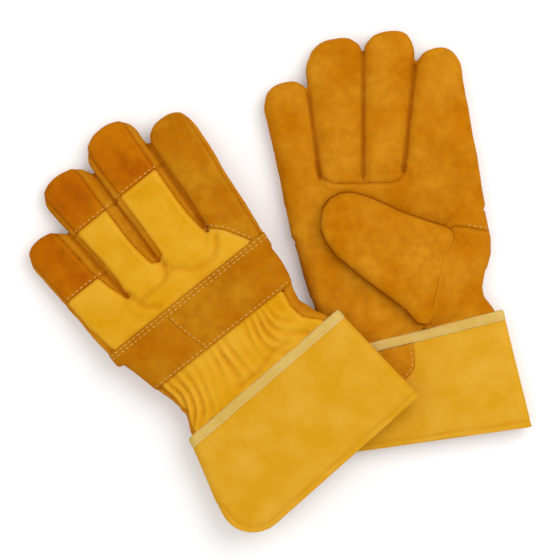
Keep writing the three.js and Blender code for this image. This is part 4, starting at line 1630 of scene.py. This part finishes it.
# %% Make both gloves
for glove in (LEFT, RIGHT):
    skin = make_skin(glove)
    label = panel_names(glove, *face_places(skin))
    sculpt(skin, *heights(glove, *places(skin)))
    print(glove["name"], len(skin.faces), {name: int((label == name).sum()) for name in set(label)})
    skin_surface = BVHTree.FromBMesh(skin)
    add_panels(glove, skin, label)
    strap_surface = add_straps(glove, skin)
    add_inner_layers(glove, skin)
    skin.free()
    sew(glove, skin_surface, strap_surface, *add_cuff(glove))
    add_thumb(glove)

# %% [markdown]
# Every panel was flat before it was sewn. Both gloves of a pair are cut to the same patterns.


# %% [markdown]
# A plain pale floor and soft light from above. The floor glows a little, for the camera's rays only, so
# that it shows white while the gloves still get plain light and the floor keeps their shadow.

# %% Floor and light
FLOOR_GLOW = 0.12
FLOOR_GREY = 0.9
FLOOR_HALF = 30
SKY_LIGHT = 0.72


def white_floor():
    """A pale material that glows only where the camera sees it, directly or through or off something."""
    material = bpy.data.materials.new("floor")
    material.use_nodes = True
    tree = material.node_tree
    shader = tree.nodes["Principled BSDF"].inputs
    rays = add_node(tree, "LightPath").outputs
    seen = maths(tree, "ADD", rays["Is Camera Ray"], rays["Is Glossy Ray"], clamp=True)
    seen = maths(tree, "ADD", seen, rays["Is Transmission Ray"], clamp=True)
    glow = tinted(tree, BLACK, (FLOOR_GLOW, FLOOR_GLOW, FLOOR_GLOW, 1), seen, 1.0)
    tree.links.new(glow, shader["Emission Color"])
    shader["Emission Strength"].default_value = 1.0
    shader["Base Color"].default_value = (FLOOR_GREY, FLOOR_GREY, FLOOR_GREY, 1)
    return material


floor_bm = bmesh.new()
bmesh.ops.create_grid(floor_bm, x_segments=1, y_segments=1, size=FLOOR_HALF)
floor_mesh = bpy.data.meshes.new("floor")
floor_bm.to_mesh(floor_mesh)
floor_bm.free()
floor_mesh.materials.append(white_floor())
floor = bpy.data.objects.new("floor", floor_mesh)
scene.collection.objects.link(floor)

world_light = bpy.data.worlds.new("world")
world_light.use_nodes = True
sky = world_light.node_tree.nodes["Background"].inputs
sky["Color"].default_value = WHITE
sky["Strength"].default_value = SKY_LIGHT
scene.world = world_light


def area_light(name, place, size, power):
    data = bpy.data.lights.new(name, "AREA")
    data.shape = "DISK"
    data.size = size
    data.energy = power
    lamp = bpy.data.objects.new(name, data)
    lamp.location = place
    lamp.rotation_euler = (-Vector(place)).to_track_quat("-Z", "Y").to_euler()
    scene.collection.objects.link(lamp)


area_light("key", place=(0.7, 0.55, 1.3), size=1.3, power=11)
area_light("fill", place=(-0.8, -0.4, 1.4), size=1.4, power=3)
print("lights", [data.name for data in bpy.data.lights])
